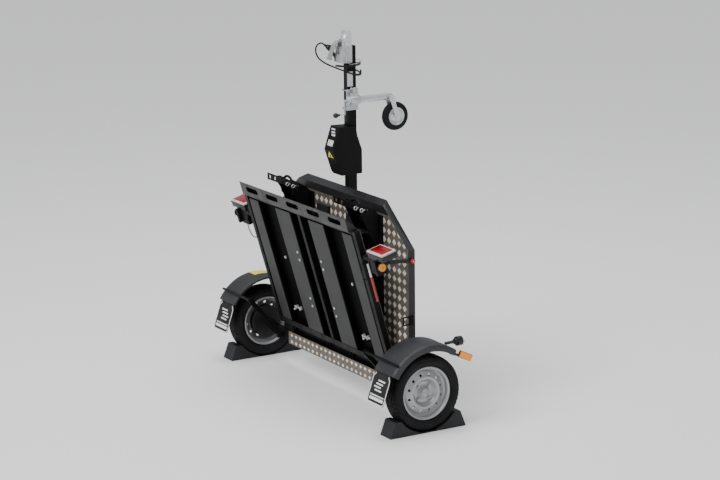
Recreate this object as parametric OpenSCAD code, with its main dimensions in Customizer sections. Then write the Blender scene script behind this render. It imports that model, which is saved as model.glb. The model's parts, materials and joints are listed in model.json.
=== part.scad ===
// Folding two-track motorcycle trailer, stored upright on its wheels.
// X is across the trailer, Y is the driving direction, Z is up, in millimetres.
// The origin is on the floor, midway between the wheels.

/* [Wheels and axle] */
// Distance between the two wheels' middle planes
track = 2200; // [2120:10:2300]
// Height of the wheel hubs above the floor
hub_z = 265; // [264:1:275]
// Outside radius of the tyres
tyre_r = 260; // [250:1:261]
// Width of the tyres
tyre_w = 146; // [125:1:160]
// Radius of the rim's flange
rim_r = 182.5; // [165:0.5:190]
// Width of the rim over its flanges
rim_w = 120; // [100:1:135]
// Side of the square axle tube
beam_s = 60; // [50:1:64]
// Radius of the stub axles
stub_r = 15; // [12:0.5:18]

/* [Middle hinge] */
// Distance of the hinge line in front of the wheel centres
hinge_y = 22; // [20:1:24]
// Height of the hinge line above the floor
hinge_z = 330; // [326:1:340]
// Radius of the hinge pins
pin_r = 8; // [6:0.5:10]
// Wall around a hinge pin's hole
lug_wall = 8; // [5:0.5:8]
// Thickness of each hinge lug
lug_t = 8; // [6:0.5:9]
// Running clearance of a pin in its hole
run = 0.05; // [0.02:0.01:0.1]

/* [Front half] */
// Height of the front half from the hinge line to its front edge
front_len = 1119; // [1060:1:1180]
// Half width of the front half at its posts
front_hw = 890; // [850:1:900]
// Half width of the front bar between the cut corners
nose_hw = 535; // [480:1:600]
// Length of the cut corners along the trailer
corner_len = 277; // [220:1:320]
// Depth of the frame tubes
frame_d = 52; // [44:1:56]
// Width of the frame tubes
frame_w = 50; // [40:1:60]
// Wall of the frame tubes
frame_wall = 3; // [2:0.5:4]
// Thickness of the tread plates
plate_t = 3; // [2:0.5:4]
// Distance of each deck surface from the hinge line
deck_gap = 5; // [4:0.5:6]

/* [Rear half] */
// Lean of the rear half away from upright, in degrees
rear_tilt = 15.9; // [14:0.1:17]
// Length of the rear half from the hinge line to its rear edge
rear_len = 1140; // [1100:1:1180]
// Half width of the rear half
rear_hw = 770; // [740:1:785]
// Half width of the slotted rear strip
strip_hw = 736; // [700:1:760]
// Height of the slotted rear strip
strip_h = 98; // [90:1:110]
// Depth of the stiffening ribs
rib_d = 42; // [36:1:44]

/* [Track channels and chocks] */
// Distance of each track channel's middle from the trailer's middle
lane_x = 464; // [455:1:475]
// Width of the track channels
lane_w = 236; // [220:1:236]
// Height of the track channel's flanges
lane_h = 25; // [15:1:30]
// Length of the perforated chock bars
bar_len = 440; // [420:5:470]
// Height of the perforated chock bars
bar_h = 48; // [40:1:52]
// Radius of the holes in the chock bars
bar_hole_r = 13; // [9:0.5:14]

/* [Drawbar and coupling] */
// Width of the drawbar tube
bar_w = 50; // [44:1:56]
// Depth of the drawbar tube
bar_d = 70; // [64:1:76]
// Height of the drawbar's upper end above the hinge line
bar_top = 2094; // [2080:1:2100]
// Radius of the coupling's ball socket
ball_r = 25.3; // [25.1:0.1:26]
// Diameter of the jockey wheel
jockey_d = 200; // [180:1:220]
// Outside radius of the jockey tube
tube_r = 24; // [22:0.5:26]
// Travel of the jockey stem
stem_travel = 100; // [60:5:110]

/* [Cables] */
// Diameter of the electric cable
cable_d = 11; // [9:0.5:12]
// Diameter of the lamp cables
lead_d = 7; // [5:0.5:8]
// Diameter of the breakaway wire
wire_d = 4; // [3:0.5:5]

/* [Hidden] */
$fn = 64;

// Where the parts of the axle lie.
half_track = track / 2;
beam_y = 42;
beam_z = 214;
beam_hl = half_track - tyre_w / 2 - 67;
hub_r = 62;
drum_r = 118;
stud_r = 58;
lug_r = pin_r + lug_wall;
hinge_x = [-650, -160, 160, 650];
lug_gap = 2;

// Fender shape, about the wheel centre.
fender_r = 344;
fender_t = 4;
fender_in = 115;
fender_out = 125;
skirt = 44;
fender_round = 22;
fender_start = 55;
fender_end = 150;
flap_w = 208;
flap_h = 212;
flap_t = 4;
arm_r = 9;
arm_in = 812;

// Front half.
deck_y = hinge_y + deck_gap;
frame_y = deck_y + plate_t;
frame_back = frame_y + frame_d;
front_top = hinge_z + front_len;
corner_z = front_top - corner_len;
front_low = hinge_z + 30;
nose_drop = 30;
nose_face = 55;

// Rear half, measured along and across its own plane.
rear_low = 18;
rear_sill = 46;
rear_plate = -deck_gap - plate_t;
rear_back = rear_plate - rib_d;
strip_low = rear_len - strip_h;
strip_out = -75;
rail_w = 40;
rib_in = [115, 570];
rib_out = [345, 722];
slot_pitch = 287;
latch_u = 182;
latch_n = rear_plate - plate_t - 12;
slot_l = 165;
slot_h = 38;

// Chocks, on the front half.
chock_z = 1300;
chock_arm = 6;
chock_hw = 92;
bar_y = -164;
bar_t = 6;
hoop_y = -120;
bar_z = 1408;
rocker_y = -62;
rocker_z = 1232;
rocker_r = 10;

// Drawbar, winch cover and coupling.
draw_y = frame_back + 4;
draw_mid = draw_y + bar_d / 2;
draw_low = hinge_z + 100;
draw_end = hinge_z + bar_top;
cover_hw = 60;
cover_t = 2.5;
cover_out = [[0, 1876], [130, 1872], [140, 1810], [176, 1705], [176, 1540], [16, 1538],
    [0, 1556], [-54, 1716]];
drum_y = 20;
drum_z = 1700;
bracket_z = 2312;
bracket_h = 112;
bracket_y = 36;
bracket_t = 5;
bracket_hw = 45;
head_hw = 33;
head_z = 2472;
head_y = 96;
handle_y = 58;
handle_z = 2450;

// Jockey wheel.
jock_x = bar_w / 2 + tube_r + 8;
jock_z = 2054;
tube_start = 76;
tube_end = 372;
stem_r = tube_r - 4;
fork_y = 400;
wheel_y = 445;
wheel_z = 1912;
clamp_h = 146;

// Routes of the cables, as points in millimetres.
cable_route = [[-42, 121, 2215], [-42, 123, 2238], [-43, 134, 2262], [-44, 156, 2282],
    [-30, 182, 2293], [0, 194, 2297], [32, 184, 2297], [54, 156, 2294], [60, 120, 2292],
    [56, 82, 2291], [40, 48, 2290], [12, 28, 2290], [-22, 28, 2288], [-52, 46, 2284],
    [-68, 78, 2278], [-72, 116, 2271], [-64, 154, 2261], [-42, 184, 2248], [-8, 200, 2234],
    [26, 192, 2224], [48, 166, 2222], [54, 132, 2228], [50, 98, 2240], [42, 62, 2256],
    [32, 24, 2272], [20, -16, 2290], [6, -56, 2310], [-8, -92, 2334], [-20, -116, 2362],
    [-28, -126, 2394], [-38, -120, 2424], [-46, -98, 2445], [-50, -70, 2450], [-50, -45, 2435]];
wire_route = [[45, 60, 2345], [56, 60, 2343], [66, 62, 2331], [71, 72, 2314], [72, 92, 2306], [70, 128, 2308],
    [62, 164, 2314], [40, 190, 2318], [8, 200, 2318], [-26, 194, 2318], [-54, 170, 2316],
    [-64, 136, 2314], [-68, 104, 2312], [-70, 76, 2316], [-66, 62, 2331], [-56, 60, 2343], [-45, 60, 2345]];
lead_route = [[854, -20, 892], [840, -21, 892], [822, -30, 886], [808, -46, 868], [799, -64, 840],
    [795, -76, 804], [791, -80, 768], [782, -80, 736], [769, -77, 710], [757, -70, 698],
    [751, -60, 694], [751, -50, 694]];

// Lamps on the rear half, along and across its plane.
lamp_in = 850;
lamp_w = 200;
lamp_n = -45;
lamp_d = 120;
lamp_u = 872;
lamp_h = 58;
amber_x = 1000;
amber_u = 831;
amber_n = -35;
amber_r = 29;

// Turns an outline in Y and Z, drawn as x and y, into a solid along X.
module along_x(x0, x1) {
    translate([x0, 0, 0]) rotate([90, 0, 90]) linear_extrude(x1 - x0) children();
}

// Cylinder along X between two planes.
module rod_x(x0, x1, y, z, r) {
    translate([x0, y, z]) rotate([0, 90, 0]) cylinder(h = x1 - x0, r = r);
}

// Cylinder along Y between two planes.
module rod_y(x, y0, y1, z, r) {
    translate([x, y0, z]) rotate([-90, 0, 0]) cylinder(h = y1 - y0, r = r);
}

// Box between two corners.
module box(a, b) {
    translate(a) cube(b - a);
}

// Draws its children on both sides of the trailer.
module both() {
    children();
    mirror([1, 0, 0]) children();
}

// Places its children on the rear half: x across, y towards its deck, z away from the hinge.
module on_rear() {
    translate([0, hinge_y, hinge_z]) rotate([rear_tilt, 0, 0]) children();
}

// Flat bar between two points of an outline.
module strap2d(a, b, w) {
    d = (b - a) / norm(b - a);
    s = [-d[1], d[0]] * w / 2;
    polygon([a + s, b + s, b - s, a - s]);
}

// A free tube swept along a list of points, with flat ends.
function unit(v) = v / norm(v);
function tangent(p, i) = unit(p[min(i + 1, len(p) - 1)] - p[max(i - 1, 0)]);
function flat_on(n, t) = unit(n - (n * t) * t);
function frames(p, i, n) =
    i == len(p) ? [] : concat([flat_on(n, tangent(p, i))], frames(p, i + 1, flat_on(n, tangent(p, i))));
module tube_along(p, r, sides, first) {
    n = frames(p, 0, first);
    rings = [for (i = [0 : len(p) - 1]) for (k = [0 : sides - 1])
        p[i] + r * (cos(360 * k / sides) * n[i] + sin(360 * k / sides) * cross(tangent(p, i), n[i]))];
    last = (len(p) - 1) * sides;
    walls = [for (i = [0 : len(p) - 2]) for (k = [0 : sides - 1])
        let (a = i * sides + k, b = i * sides + (k + 1) % sides) [a, a + sides, b + sides, b]];
    caps = [[for (k = [0 : sides - 1]) k], [for (k = [0 : sides - 1]) last + sides - 1 - k]];
    polyhedron(rings, concat(walls, caps), convexity = 4);
}

// ---- Axle and its carrier ----

module axle_beam() {
    color("dimgray") difference() {
        box([-beam_hl, beam_y - beam_s / 2, beam_z - beam_s / 2],
            [beam_hl, beam_y + beam_s / 2, beam_z + beam_s / 2]);
        box([-beam_hl - 1, beam_y - beam_s / 2 + 5, beam_z - beam_s / 2 + 5],
            [beam_hl + 1, beam_y + beam_s / 2 - 5, beam_z + beam_s / 2 - 5]);
    }
}

module root_lug2d() {
    difference() {
        union() {
            translate([hinge_y, hinge_z]) circle(lug_r);
            polygon([[hinge_y - 10, hinge_z], [hinge_y + 14, hinge_z],
                [beam_y + 12, beam_z + beam_s / 2], [beam_y - beam_s / 2 + 2, beam_z + beam_s / 2]]);
        }
        translate([hinge_y, hinge_z]) circle(pin_r);
    }
}

module hinge_lugs() {
    color("dimgray") for (c = hinge_x) {
        along_x(c - lug_gap - 2 * lug_t - 2, c - lug_gap - lug_t - 2) root_lug2d();
        along_x(c + lug_gap + lug_t + 2, c + lug_gap + 2 * lug_t + 2) root_lug2d();
    }
    sill_y = hinge_y + 8;
    beam_top = beam_z + beam_s / 2;
    color("dimgray") for (k = [0:2])
        box([hinge_x[k] + 24, sill_y, beam_top], [hinge_x[k + 1] - 24, sill_y + 4, hinge_z - lug_r - 8]);
}

module hinge_pins() {
    color("silver") for (c = hinge_x) {
        rod_x(c - 2 * lug_t - 10, c + 2 * lug_t + 6, hinge_y, hinge_z, pin_r);
        rod_x(c - 2 * lug_t - 12, c - 2 * lug_t - 4 - lug_gap, hinge_y, hinge_z, pin_r + 5);
    }
}

module axle_apron() {
    apron_y = -14;
    low = beam_z - 34;
    color("tan") {
        box([-680, apron_y - plate_t, low], [680, apron_y, low + 92]);
        for (x = [-660, -220, 220, 660])
            box([x - 20, apron_y, beam_z - 10], [x + 20, beam_y - beam_s / 2, beam_z + 10]);
    }
}

module swing_arms() {
    color("dimgray") both() {
        rod_x(beam_hl - 60, beam_hl + 4, beam_y, beam_z, beam_s / 2 - 6);
        along_x(beam_hl + 2, beam_hl + 20) difference() {
            union() {
                translate([beam_y, beam_z]) circle(36);
                translate([0, hub_z]) circle(36);
                strap2d([beam_y, beam_z], [0, hub_z], 66);
            }
            translate([0, hub_z]) circle(stub_r);
        }
        rod_x(beam_hl + 2, half_track + 20, 0, hub_z, stub_r);
    }
}

// ---- Wheels ----

// Places a wheel part drawn about +Z, outside face up.
module at_wheel(side) {
    translate([side * half_track, 0, hub_z]) rotate([0, side * 90, 0]) children();
}

module tyre_shape() {
    w = tyre_w / 2;
    f = rim_w / 2;
    seat = rim_r - 14;
    outer = [[seat, f - 16], [rim_r - 5, f - 13], [rim_r + 1, f - 7], [rim_r + 7, f + 1],
        [rim_r + 22, w - 2], [tyre_r - 40, w], [tyre_r - 14, w - 8], [tyre_r - 3, w - 22],
        [tyre_r, w - 44]];
    n = len(outer) - 1;
    rotate_extrude($fn = 128) polygon(concat([for (p = outer) [p[0], -p[1]]],
        [for (i = [n : -1 : 0]) outer[i]], [[seat, f - 28], [tyre_r - 30, w - 26],
        [tyre_r - 12, 0], [tyre_r - 30, -w + 26], [seat, -f + 28]]));
}

module rim_shape() {
    w = rim_w / 2;
    dish = 14;
    difference() {
        union() {
            rotate_extrude($fn = 128) polygon([[rim_r - 5, w], [rim_r, w - 4], [rim_r - 6, w - 10],
                [rim_r - 15, w - 13], [rim_r - 16, w - 34], [rim_r - 32, w - 46],
                [rim_r - 32, -w + 34], [rim_r - 16, -w + 24], [rim_r - 15, -w + 13],
                [rim_r - 6, -w + 10], [rim_r, -w + 4], [rim_r - 5, -w], [rim_r - 12, -w + 3],
                [rim_r - 19, -w + 12], [rim_r - 20, -w + 26], [rim_r - 36, -w + 38],
                [rim_r - 36, w - 46], [rim_r - 20, w - 34], [rim_r - 19, w - 12],
                [rim_r - 12, w - 3]]);
            rotate_extrude($fn = 128) polygon([[hub_r - 14, dish - 6], [hub_r + 10, dish - 6],
                [hub_r + 22, dish + 4], [hub_r + 36, dish + 24], [hub_r + 44, dish + 26],
                [hub_r + 56, dish + 18], [rim_r - 40, dish + 4], [rim_r - 35, dish - 12],
                [rim_r - 33, dish - 12], [rim_r - 36, dish + 8], [hub_r + 58, dish + 23],
                [hub_r + 45, dish + 31], [hub_r + 33, dish + 29], [hub_r + 18, dish + 9],
                [hub_r + 8, dish - 1], [hub_r - 14, dish - 1]]);
        }
        for (i = [0 : 11]) rotate([0, 0, i * 30 + 15]) translate([hub_r + 63, 0, 0]) cylinder(h = 60, r = 9);
        for (i = [0 : 3]) rotate([0, 0, i * 90 + 45]) translate([stud_r, 0, 0]) cylinder(h = 30, r = 7);
    }
}

module hub_shape() {
    rotate_extrude() polygon([[stub_r + run, -60], [drum_r - 6, -60], [drum_r, -54],
        [drum_r, -14], [drum_r - 12, -6], [hub_r + 12, -4], [hub_r + 12, 8], [hub_r - 14, 8],
        [hub_r - 14, 13], [hub_r - 24, 22], [34, 24], [34, 34], [28, 42], [0, 44], [0, 34],
        [stub_r + run, 32]]);
    for (i = [0 : 3]) rotate([0, 0, i * 90 + 45]) translate([stud_r, 0, 0]) {
        cylinder(h = 26, r = 6.5);
        translate([0, 0, 13]) cylinder(h = 14, r = 10, $fn = 6);
    }
}

module tyre_left() { color("#1a1a1c") at_wheel(-1) tyre_shape(); }
module tyre_right() { color("#1a1a1c") at_wheel(1) tyre_shape(); }
module rim_left() { color("silver") at_wheel(-1) rim_shape(); }
module rim_right() { color("silver") at_wheel(1) rim_shape(); }
module hub_left() { color("gray") at_wheel(-1) hub_shape(); }
module hub_right() { color("gray") at_wheel(1) hub_shape(); }

// ---- Fenders, flaps, marker lamps and cradles ----

// Fender profile: radius as x, distance outwards as y.
module fender2d() {
    o = fender_out - fender_round;
    outer = [for (a = [0 : 15 : 90]) [fender_r - fender_round + fender_round * cos(a), o + fender_round * sin(a)]];
    ri = fender_round - fender_t;
    inner = [for (a = [90 : -15 : 0]) [fender_r - fender_round + ri * cos(a), o + ri * sin(a)]];
    polygon(concat([[fender_r - 14, -fender_in], [fender_r, -fender_in]], outer,
        [[fender_r - skirt, fender_out], [fender_r - skirt, fender_out - fender_t]], inner,
        [[fender_r - fender_t, -fender_in + fender_t], [fender_r - 14, -fender_in + fender_t]]));
}

module fenders() {
    color("#2c2d31") both() translate([half_track, 0, hub_z]) rotate([90, 0, 90]) rotate([0, 0, fender_start])
        rotate_extrude(angle = fender_end - fender_start, $fn = 96) fender2d();
}

// Centres of the two support bars, on the inside and outside of the fender.
function arm_at(a, r) = [r * cos(a), hub_z + r * sin(a)];
rear_arm = arm_at(137, fender_r + arm_r + 1);
front_arm = arm_at(64, fender_r - 15 - arm_r);
front_arm_in = front_hw + 16;

module fender_arms() {
    color("#26262a") both() {
        rod_x(arm_in - 12, half_track + fender_out - 4, rear_arm[0], rear_arm[1], arm_r);
        along_x(arm_in - 12, arm_in) {
            strap2d(rear_arm, [beam_y - 70, beam_z + 20], 34);
            strap2d([beam_y - 84, beam_z + 4], [beam_y - beam_s / 2, beam_z + 4], 44);
            translate(rear_arm) circle(17);
        }
        rod_x(front_arm_in, half_track + fender_out - 8, front_arm[0], front_arm[1], arm_r);
        along_x(front_arm_in, front_arm_in + 10) {
            strap2d(front_arm, [beam_y + 48, beam_z + 10], 34);
            translate(front_arm) circle(17);
            strap2d([beam_y + 60, beam_z], [beam_y + beam_s / 2, beam_z], 44);
        }
    }
}

module mudflaps() {
    flap_x = half_track - 10;
    top = arm_at(fender_end, fender_r - 8);
    color("#141416") both() translate([flap_x, top[0], top[1]]) rotate([fender_end - 180 + 11, 0, 0])
        rotate([90, 0, 0]) translate([0, 0, -flap_t / 2]) linear_extrude(flap_t) polygon([
            [-flap_w / 2, -flap_h + 14], [-flap_w / 2 + 14, -flap_h], [flap_w / 2 - 14, -flap_h],
            [flap_w / 2, -flap_h + 14], [flap_w / 2, -20], [flap_w / 2 - 22, 10],
            [-flap_w / 2 + 22, 10], [-flap_w / 2, -20]]);
}

// Side markers stand on the fender's front end, facing outwards.
marker_x = half_track + fender_out + 2;
marker = [[214, 520], [306, 476]];

module side_marker_bases() {
    color("#1c1c1e") both() {
        along_x(marker_x - 14, marker_x) strap2d(marker[0], marker[1], 46);
        along_x(marker_x - 14, marker_x - 6) strap2d([143, 534], marker[1], 18);
    }
}

module side_marker_lenses() {
    color("orange") both() along_x(marker_x, marker_x + 10)
        strap2d(marker[0] + [3, -1.5], marker[1] - [3, -1.5], 40);
}

front_lamp = [half_track + 48, 262, 584];

module front_lamp_bodies() {
    color("#1c1c1e") both() {
        rod_y(front_lamp[0], front_lamp[1] - 24, front_lamp[1] + 14, front_lamp[2], 32);
        rod_y(front_lamp[0], front_lamp[1] - 40, front_lamp[1] - 24, front_lamp[2], 20);
        along_x(front_lamp[0] - 12, front_lamp[0] + 12)
            strap2d([front_lamp[1] - 36, front_lamp[2]], [152, 581], 14);
    }
}

module front_lamp_lenses() {
    color("white") both() rod_y(front_lamp[0], front_lamp[1] + 14, front_lamp[1] + 24, front_lamp[2], 29);
}

module cradles() {
    base = 4;
    reach = 294;
    top = 108;
    gap = 1;
    w = 66;
    cx = half_track + 10;
    color("#2a2a2e") both() difference() {
        union() {
            box([cx - w, -reach, 0], [cx + w, reach, base]);
            for (s = [-1, 1]) along_x(cx - w, cx + w)
                polygon([[s * reach, base], [s * (reach - 40), top], [s * (reach - 84), top], [s * 60, base]]);
        }
        rod_x(cx - w - 1, cx + w + 1, 0, hub_z, tyre_r + gap);
        for (s = [-1, 1]) along_x(cx - w + 5, cx + w - 5)
            polygon([[s * (reach - 10), base], [s * (reach - 44), top - 8], [s * (reach - 70), top - 8],
                [s * 170, base]]);
    }
}

// ---- Front half ----

// Outline of the front half, across as x and up as y.
function front_outline(inset) = let (e = inset * 0.5) [
    [front_hw - inset, front_low + inset], [front_hw - inset, corner_z - e],
    [nose_hw - e, front_top - inset], [-nose_hw + e, front_top - inset],
    [-front_hw + inset, corner_z - e], [-front_hw + inset, front_low + inset]];

module in_front(y0, y1) {
    translate([0, y1, 0]) rotate([90, 0, 0]) linear_extrude(y1 - y0) children();
}

module front_lug2d() {
    difference() {
        union() {
            translate([hinge_y, hinge_z]) circle(lug_r);
            polygon([[hinge_y - 8, hinge_z + 10], [hinge_y + 14, hinge_z - 6],
                [frame_y + 36, front_low + 2], [frame_y + 8, front_low + 40], [frame_y + 2, front_low + 12]]);
        }
        translate([hinge_y, hinge_z]) circle(pin_r + run);
    }
}

module front_frame() {
    bars_z = [640, 1010];
    e = frame_wall;
    web = frame_y + 4;
    sill = front_top - nose_drop - nose_face - 10;
    color("#1d1d20") {
        difference() {
            union() {
                difference() {
                    in_front(frame_y, frame_back) polygon(front_outline(0));
                    in_front(frame_y - 1, frame_back + 1) polygon(front_outline(frame_w));
                    in_front(frame_y + e + 4, frame_back + 1) difference() {
                        polygon(front_outline(e));
                        polygon(front_outline(frame_w - e));
                    }
                }
                intersection() {
                    in_front(frame_y, frame_back) polygon(front_outline(0));
                    along_x(-front_hw, front_hw) polygon([[frame_y, sill], [frame_y + e + 1, sill],
                        [frame_y + e + 1, front_top - nose_drop - e], [frame_back, front_top - e - 1],
                        [frame_back, front_top], [frame_y, front_top]]);
                }
            }
            along_x(-front_hw, front_hw) polygon([[frame_y - 1, front_top - nose_drop - 1],
                [frame_back + 1, front_top + 0.6], [frame_y - 1, front_top + 1]]);
        }
        difference() {
            for (z = bars_z) box([-front_hw + frame_w - 1, web, z], [front_hw - frame_w + 1, frame_back, z + 40]);
            for (z = bars_z) box([-front_hw, web + e, z + e], [front_hw, frame_back + 1, z + 40 - e]);
        }
        difference() {
            for (x = [-lane_x, 0, lane_x])
                box([x - 20, web, front_low + 40], [x + 20, frame_back, front_top - frame_w + 1]);
            for (x = [-lane_x, 0, lane_x])
                box([x - 20 + e, web + e, front_low], [x + 20 - e, frame_back + 1, front_top]);
        }
        for (c = hinge_x) along_x(c + lug_gap / 2, c + lug_gap / 2 + lug_t) front_lug2d();
    }
}

module front_deck() {
    color("tan") in_front(deck_y, frame_y) intersection() {
        polygon(front_outline(1));
        translate([-front_hw, front_low + 10]) square([2 * front_hw, front_top - nose_drop - nose_face - front_low - 10]);
    }
}

// A U-shaped track channel, open on the side that faces away from its deck.
module track(x, y0, dir, z0, z1) {
    s = lane_w / 2;
    translate([x, 0, z0]) linear_extrude(z1 - z0) polygon([[-s, y0], [s, y0], [s, y0 + dir * lane_h],
        [s - 3, y0 + dir * lane_h], [s - 3, y0 + dir * 3], [-s + 3, y0 + dir * 3],
        [-s + 3, y0 + dir * lane_h], [-s, y0 + dir * lane_h]]);
}

module front_tracks() {
    color("#1d1d20") for (s = [-1, 1]) track(s * lane_x, deck_y, -1, hinge_z + 230, front_top - 95);
}

module drawbar() {
    color("#18181a") {
        difference() {
            box([-bar_w / 2, draw_y, draw_low], [bar_w / 2, draw_y + bar_d, draw_end]);
            box([-bar_w / 2 + 4, draw_y + 4, draw_low - 1], [bar_w / 2 - 4, draw_y + bar_d - 4, draw_end - 4]);
        }
        for (z = [640, 1010, front_top - frame_w + 4])
            box([-bar_w / 2 - 20, frame_back, z], [bar_w / 2 + 20, draw_y, z + 36]);
    }
}

// Chock: two side plates on a foot, joined by a hoop and the perforated bar.
module chock_frames() {
    foot_z = chock_z - 130;
    pivot_r = rocker_r + run;
    color("#202024") for (c = [-lane_x, lane_x]) {
        for (s = [-1, 1]) along_x(c + s * chock_hw - chock_arm / 2, c + s * chock_hw + chock_arm / 2)
            difference() {
                polygon([[deck_y - 3, foot_z], [deck_y - 3, chock_z + 40], [deck_y - 50, chock_z + 90],
                    [bar_y + bar_t + 26, bar_z + bar_h - 2], [bar_y + bar_t, bar_z + bar_h - 2],
                    [bar_y + bar_t, bar_z + 2], [bar_y + 30, bar_z - 30], [-60, 1215], [-30, foot_z]]);
                translate([rocker_y, rocker_z]) circle(pivot_r);
            }
        box([c - chock_hw, deck_y - 8, foot_z + 20], [c + chock_hw, deck_y - 3, foot_z + 60]);
        box([c - chock_hw, deck_y - 8, chock_z - 10], [c + chock_hw, deck_y - 3, chock_z + 30]);
        translate([c, hoop_y, bar_z - 24]) rotate([90, 0, 0]) rotate_extrude(angle = 180, $fn = 64)
            translate([chock_hw - 14, 0]) circle(9, $fn = 24);
        for (s = [-1, 1]) translate([c + s * (chock_hw - 14), hoop_y, bar_z - 70]) cylinder(h = 54, r = 10.5);
        for (s = [-1, 1]) rod_x(c + s * (chock_hw - 9) - 8, c + s * (chock_hw - 9) + 7, hoop_y, bar_z - 50, 7);
    }
}

module chock_bars() {
    color("#161618") for (c = [-lane_x, lane_x]) difference() {
        box([c - bar_len / 2, bar_y, bar_z], [c + bar_len / 2, bar_y + bar_t, bar_z + bar_h]);
        for (k = [0, 1]) rod_y(c - bar_len / 2 + 36 + k * 72, bar_y - 1, bar_y + bar_t + 1, bar_z + bar_h / 2, bar_hole_r);
    }
}

module eye_bolts() {
    color("silver") for (c = [-lane_x, lane_x]) for (dx = [116, 196]) {
        x = c + dx;
        z = bar_z + bar_h / 2;
        rod_y(x, bar_y - 14, bar_y, z, 5);
        rod_y(x, bar_y + bar_t, bar_y + bar_t + 10, z, 9);
        translate([x, bar_y - 24, z]) rotate([0, 90, 0]) rotate_extrude() translate([11, 0]) circle(3.6, $fn = 16);
    }
}

// The rocker turns on a bolt between the side plates and carries a curved trough.
module rocker(c) {
    w = chock_hw - chock_arm / 2 - 3;
    trough_r = 150;
    color("#303036") {
        rod_x(c - chock_hw - 14, c + chock_hw + 14, rocker_y, rocker_z, rocker_r);
        rod_x(c - w, c + w, rocker_y, rocker_z, rocker_r + 5);
        for (s = [-1, 1]) rod_x(c + s * (chock_hw + 10) - 6, c + s * (chock_hw + 10) + 6, rocker_y, rocker_z, 16, $fn = 6);
        along_x(c - 62, c + 62) intersection() {
            difference() {
                translate([rocker_y - 20, rocker_z - trough_r + 4]) circle(trough_r + 5);
                translate([rocker_y - 20, rocker_z - trough_r + 4]) circle(trough_r);
            }
            polygon([[rocker_y - 20, rocker_z - trough_r], [rocker_y - 120, rocker_z + 60], [rocker_y + 64, rocker_z + 60]]);
        }
    }
}

module chock_rocker_left() { rocker(-lane_x); }
module chock_rocker_right() { rocker(lane_x); }

module lashing_eyes() {
    eye_z = 698;
    color("#101012") both() {
        box([front_hw, frame_y + 4, eye_z - 34], [front_hw + 4, frame_y + 34, eye_z + 34]);
        for (s = [-1, 1]) rod_x(front_hw + 4, front_hw + 8, frame_y + 22, eye_z + s * 20, 7, $fn = 6);
        for (s = [-1, 1]) rod_y(front_hw + 9, frame_y - 48, frame_y + 14, eye_z + s * 26, 5);
        translate([front_hw + 9, frame_y - 48, eye_z - 31]) cylinder(h = 62, r = 5);
        box([front_hw + 4, frame_y + 4, eye_z - 31], [front_hw + 14, frame_y + 12, eye_z + 31]);
    }
}

module rubber_buffers() {
    color("#121212") both() box([125, deck_y - 26, 1236], [275, deck_y, 1290]);
}

// ---- Winch housing on the drawbar ----

module winch_cover() {
    color("#232326") for (s = [-1, 1]) box([min(s * bar_w / 2, s * (cover_hw - 1)), draw_mid - 12, 1620],
        [max(s * bar_w / 2, s * (cover_hw - 1)), draw_mid + 12, 1626]);
    color("#232326") difference() {
        along_x(-cover_hw, cover_hw) polygon(cover_out);
        along_x(-cover_hw + cover_t, cover_hw - cover_t) offset(delta = -cover_t) polygon(cover_out);
        box([-bar_w / 2 - 1, draw_y - 1, 1500], [bar_w / 2 + 1, draw_y + bar_d + 1, 1900]);
        rod_x(-cover_hw - 1, -cover_hw + 10, drum_y, drum_z, 14);
    }
}

module winch_drum() {
    color("silver") {
        rod_x(-cover_hw - 14, cover_hw - 8, drum_y, drum_z, 9);
        rod_x(-38, 38, drum_y, drum_z, 22);
        for (s = [-1, 1]) rod_x(s * 40 - 2, s * 40 + 2, drum_y, drum_z, 46);
        rod_x(-cover_hw - 18, -cover_hw - 8, drum_y, drum_z, 11, $fn = 6);
    }
}

// ---- Coupling ----

module coupling_bracket() {
    y1 = draw_y + 30;
    color("silver") difference() {
        box([-bracket_hw, bracket_y, bracket_z], [bracket_hw, y1, bracket_z + bracket_h]);
        box([-bracket_hw + bracket_t, bracket_y + bracket_t, bracket_z - 1],
            [bracket_hw - bracket_t, draw_y, bracket_z + bracket_h - bracket_t]);
        box([-bar_w / 2 - 0.5, draw_y - 1, bracket_z - 1], [bar_w / 2 + 0.5, y1 + 1, bracket_z + bracket_h + 1]);
        box([-bracket_hw + bracket_t, draw_y - 1, bracket_z - 1],
            [bracket_hw - bracket_t, y1 + 1, bracket_z + bracket_h - bracket_t]);
        rod_y(0, bracket_y - 1, bracket_y + bracket_t + 1, bracket_z + 68, 9);
        for (z = [26, 82]) rod_x(-bracket_hw - 1, bracket_hw + 1, draw_y - 14, bracket_z + z, 6.5);
    }
    color("gray") for (z = [26, 82]) for (s = [-1, 1])
        rod_x(s * (bracket_hw + 4) - 4, s * (bracket_hw + 4) + 4, draw_y - 14, bracket_z + z, 10, $fn = 6);
}

module coupling_head() {
    low = bracket_z + bracket_h;
    wall = 5;
    r1 = ball_r + wall;
    pin_hole = 5 + run;
    color("silver") difference() {
        union() {
            translate([0, head_y + 18, head_z]) rotate([90, 0, 0]) rotate_extrude() polygon([[0, 0],
                [r1 + 3, 0], [r1 + 3, 5], [r1, 8], [r1, 26], [r1 - 4, 38], [r1 - 12, 48], [0, 52]]);
            box([-bracket_hw + 6, head_y - 30, low], [bracket_hw - 6, head_y + 14, head_z - 12]);
            for (s = [-1, 1]) along_x(s * head_hw - 4, s * head_hw + 4)
                polygon([[head_y - 52, low], [head_y + 22, low], [head_y + 22, low + 70], [head_y + 10, low + 106],
                    [head_y - 14, low + 106], [head_y - 26, low + 50], [head_y - 52, low + 36]]);
        }
        translate([0, head_y + 19, head_z]) rotate([90, 0, 0]) cylinder(h = 40, r = ball_r);
        rod_x(-60, 60, handle_y, handle_z, pin_hole);
        rod_x(-25.5, 25.5, handle_y, handle_z, 15);
    }
}

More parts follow.
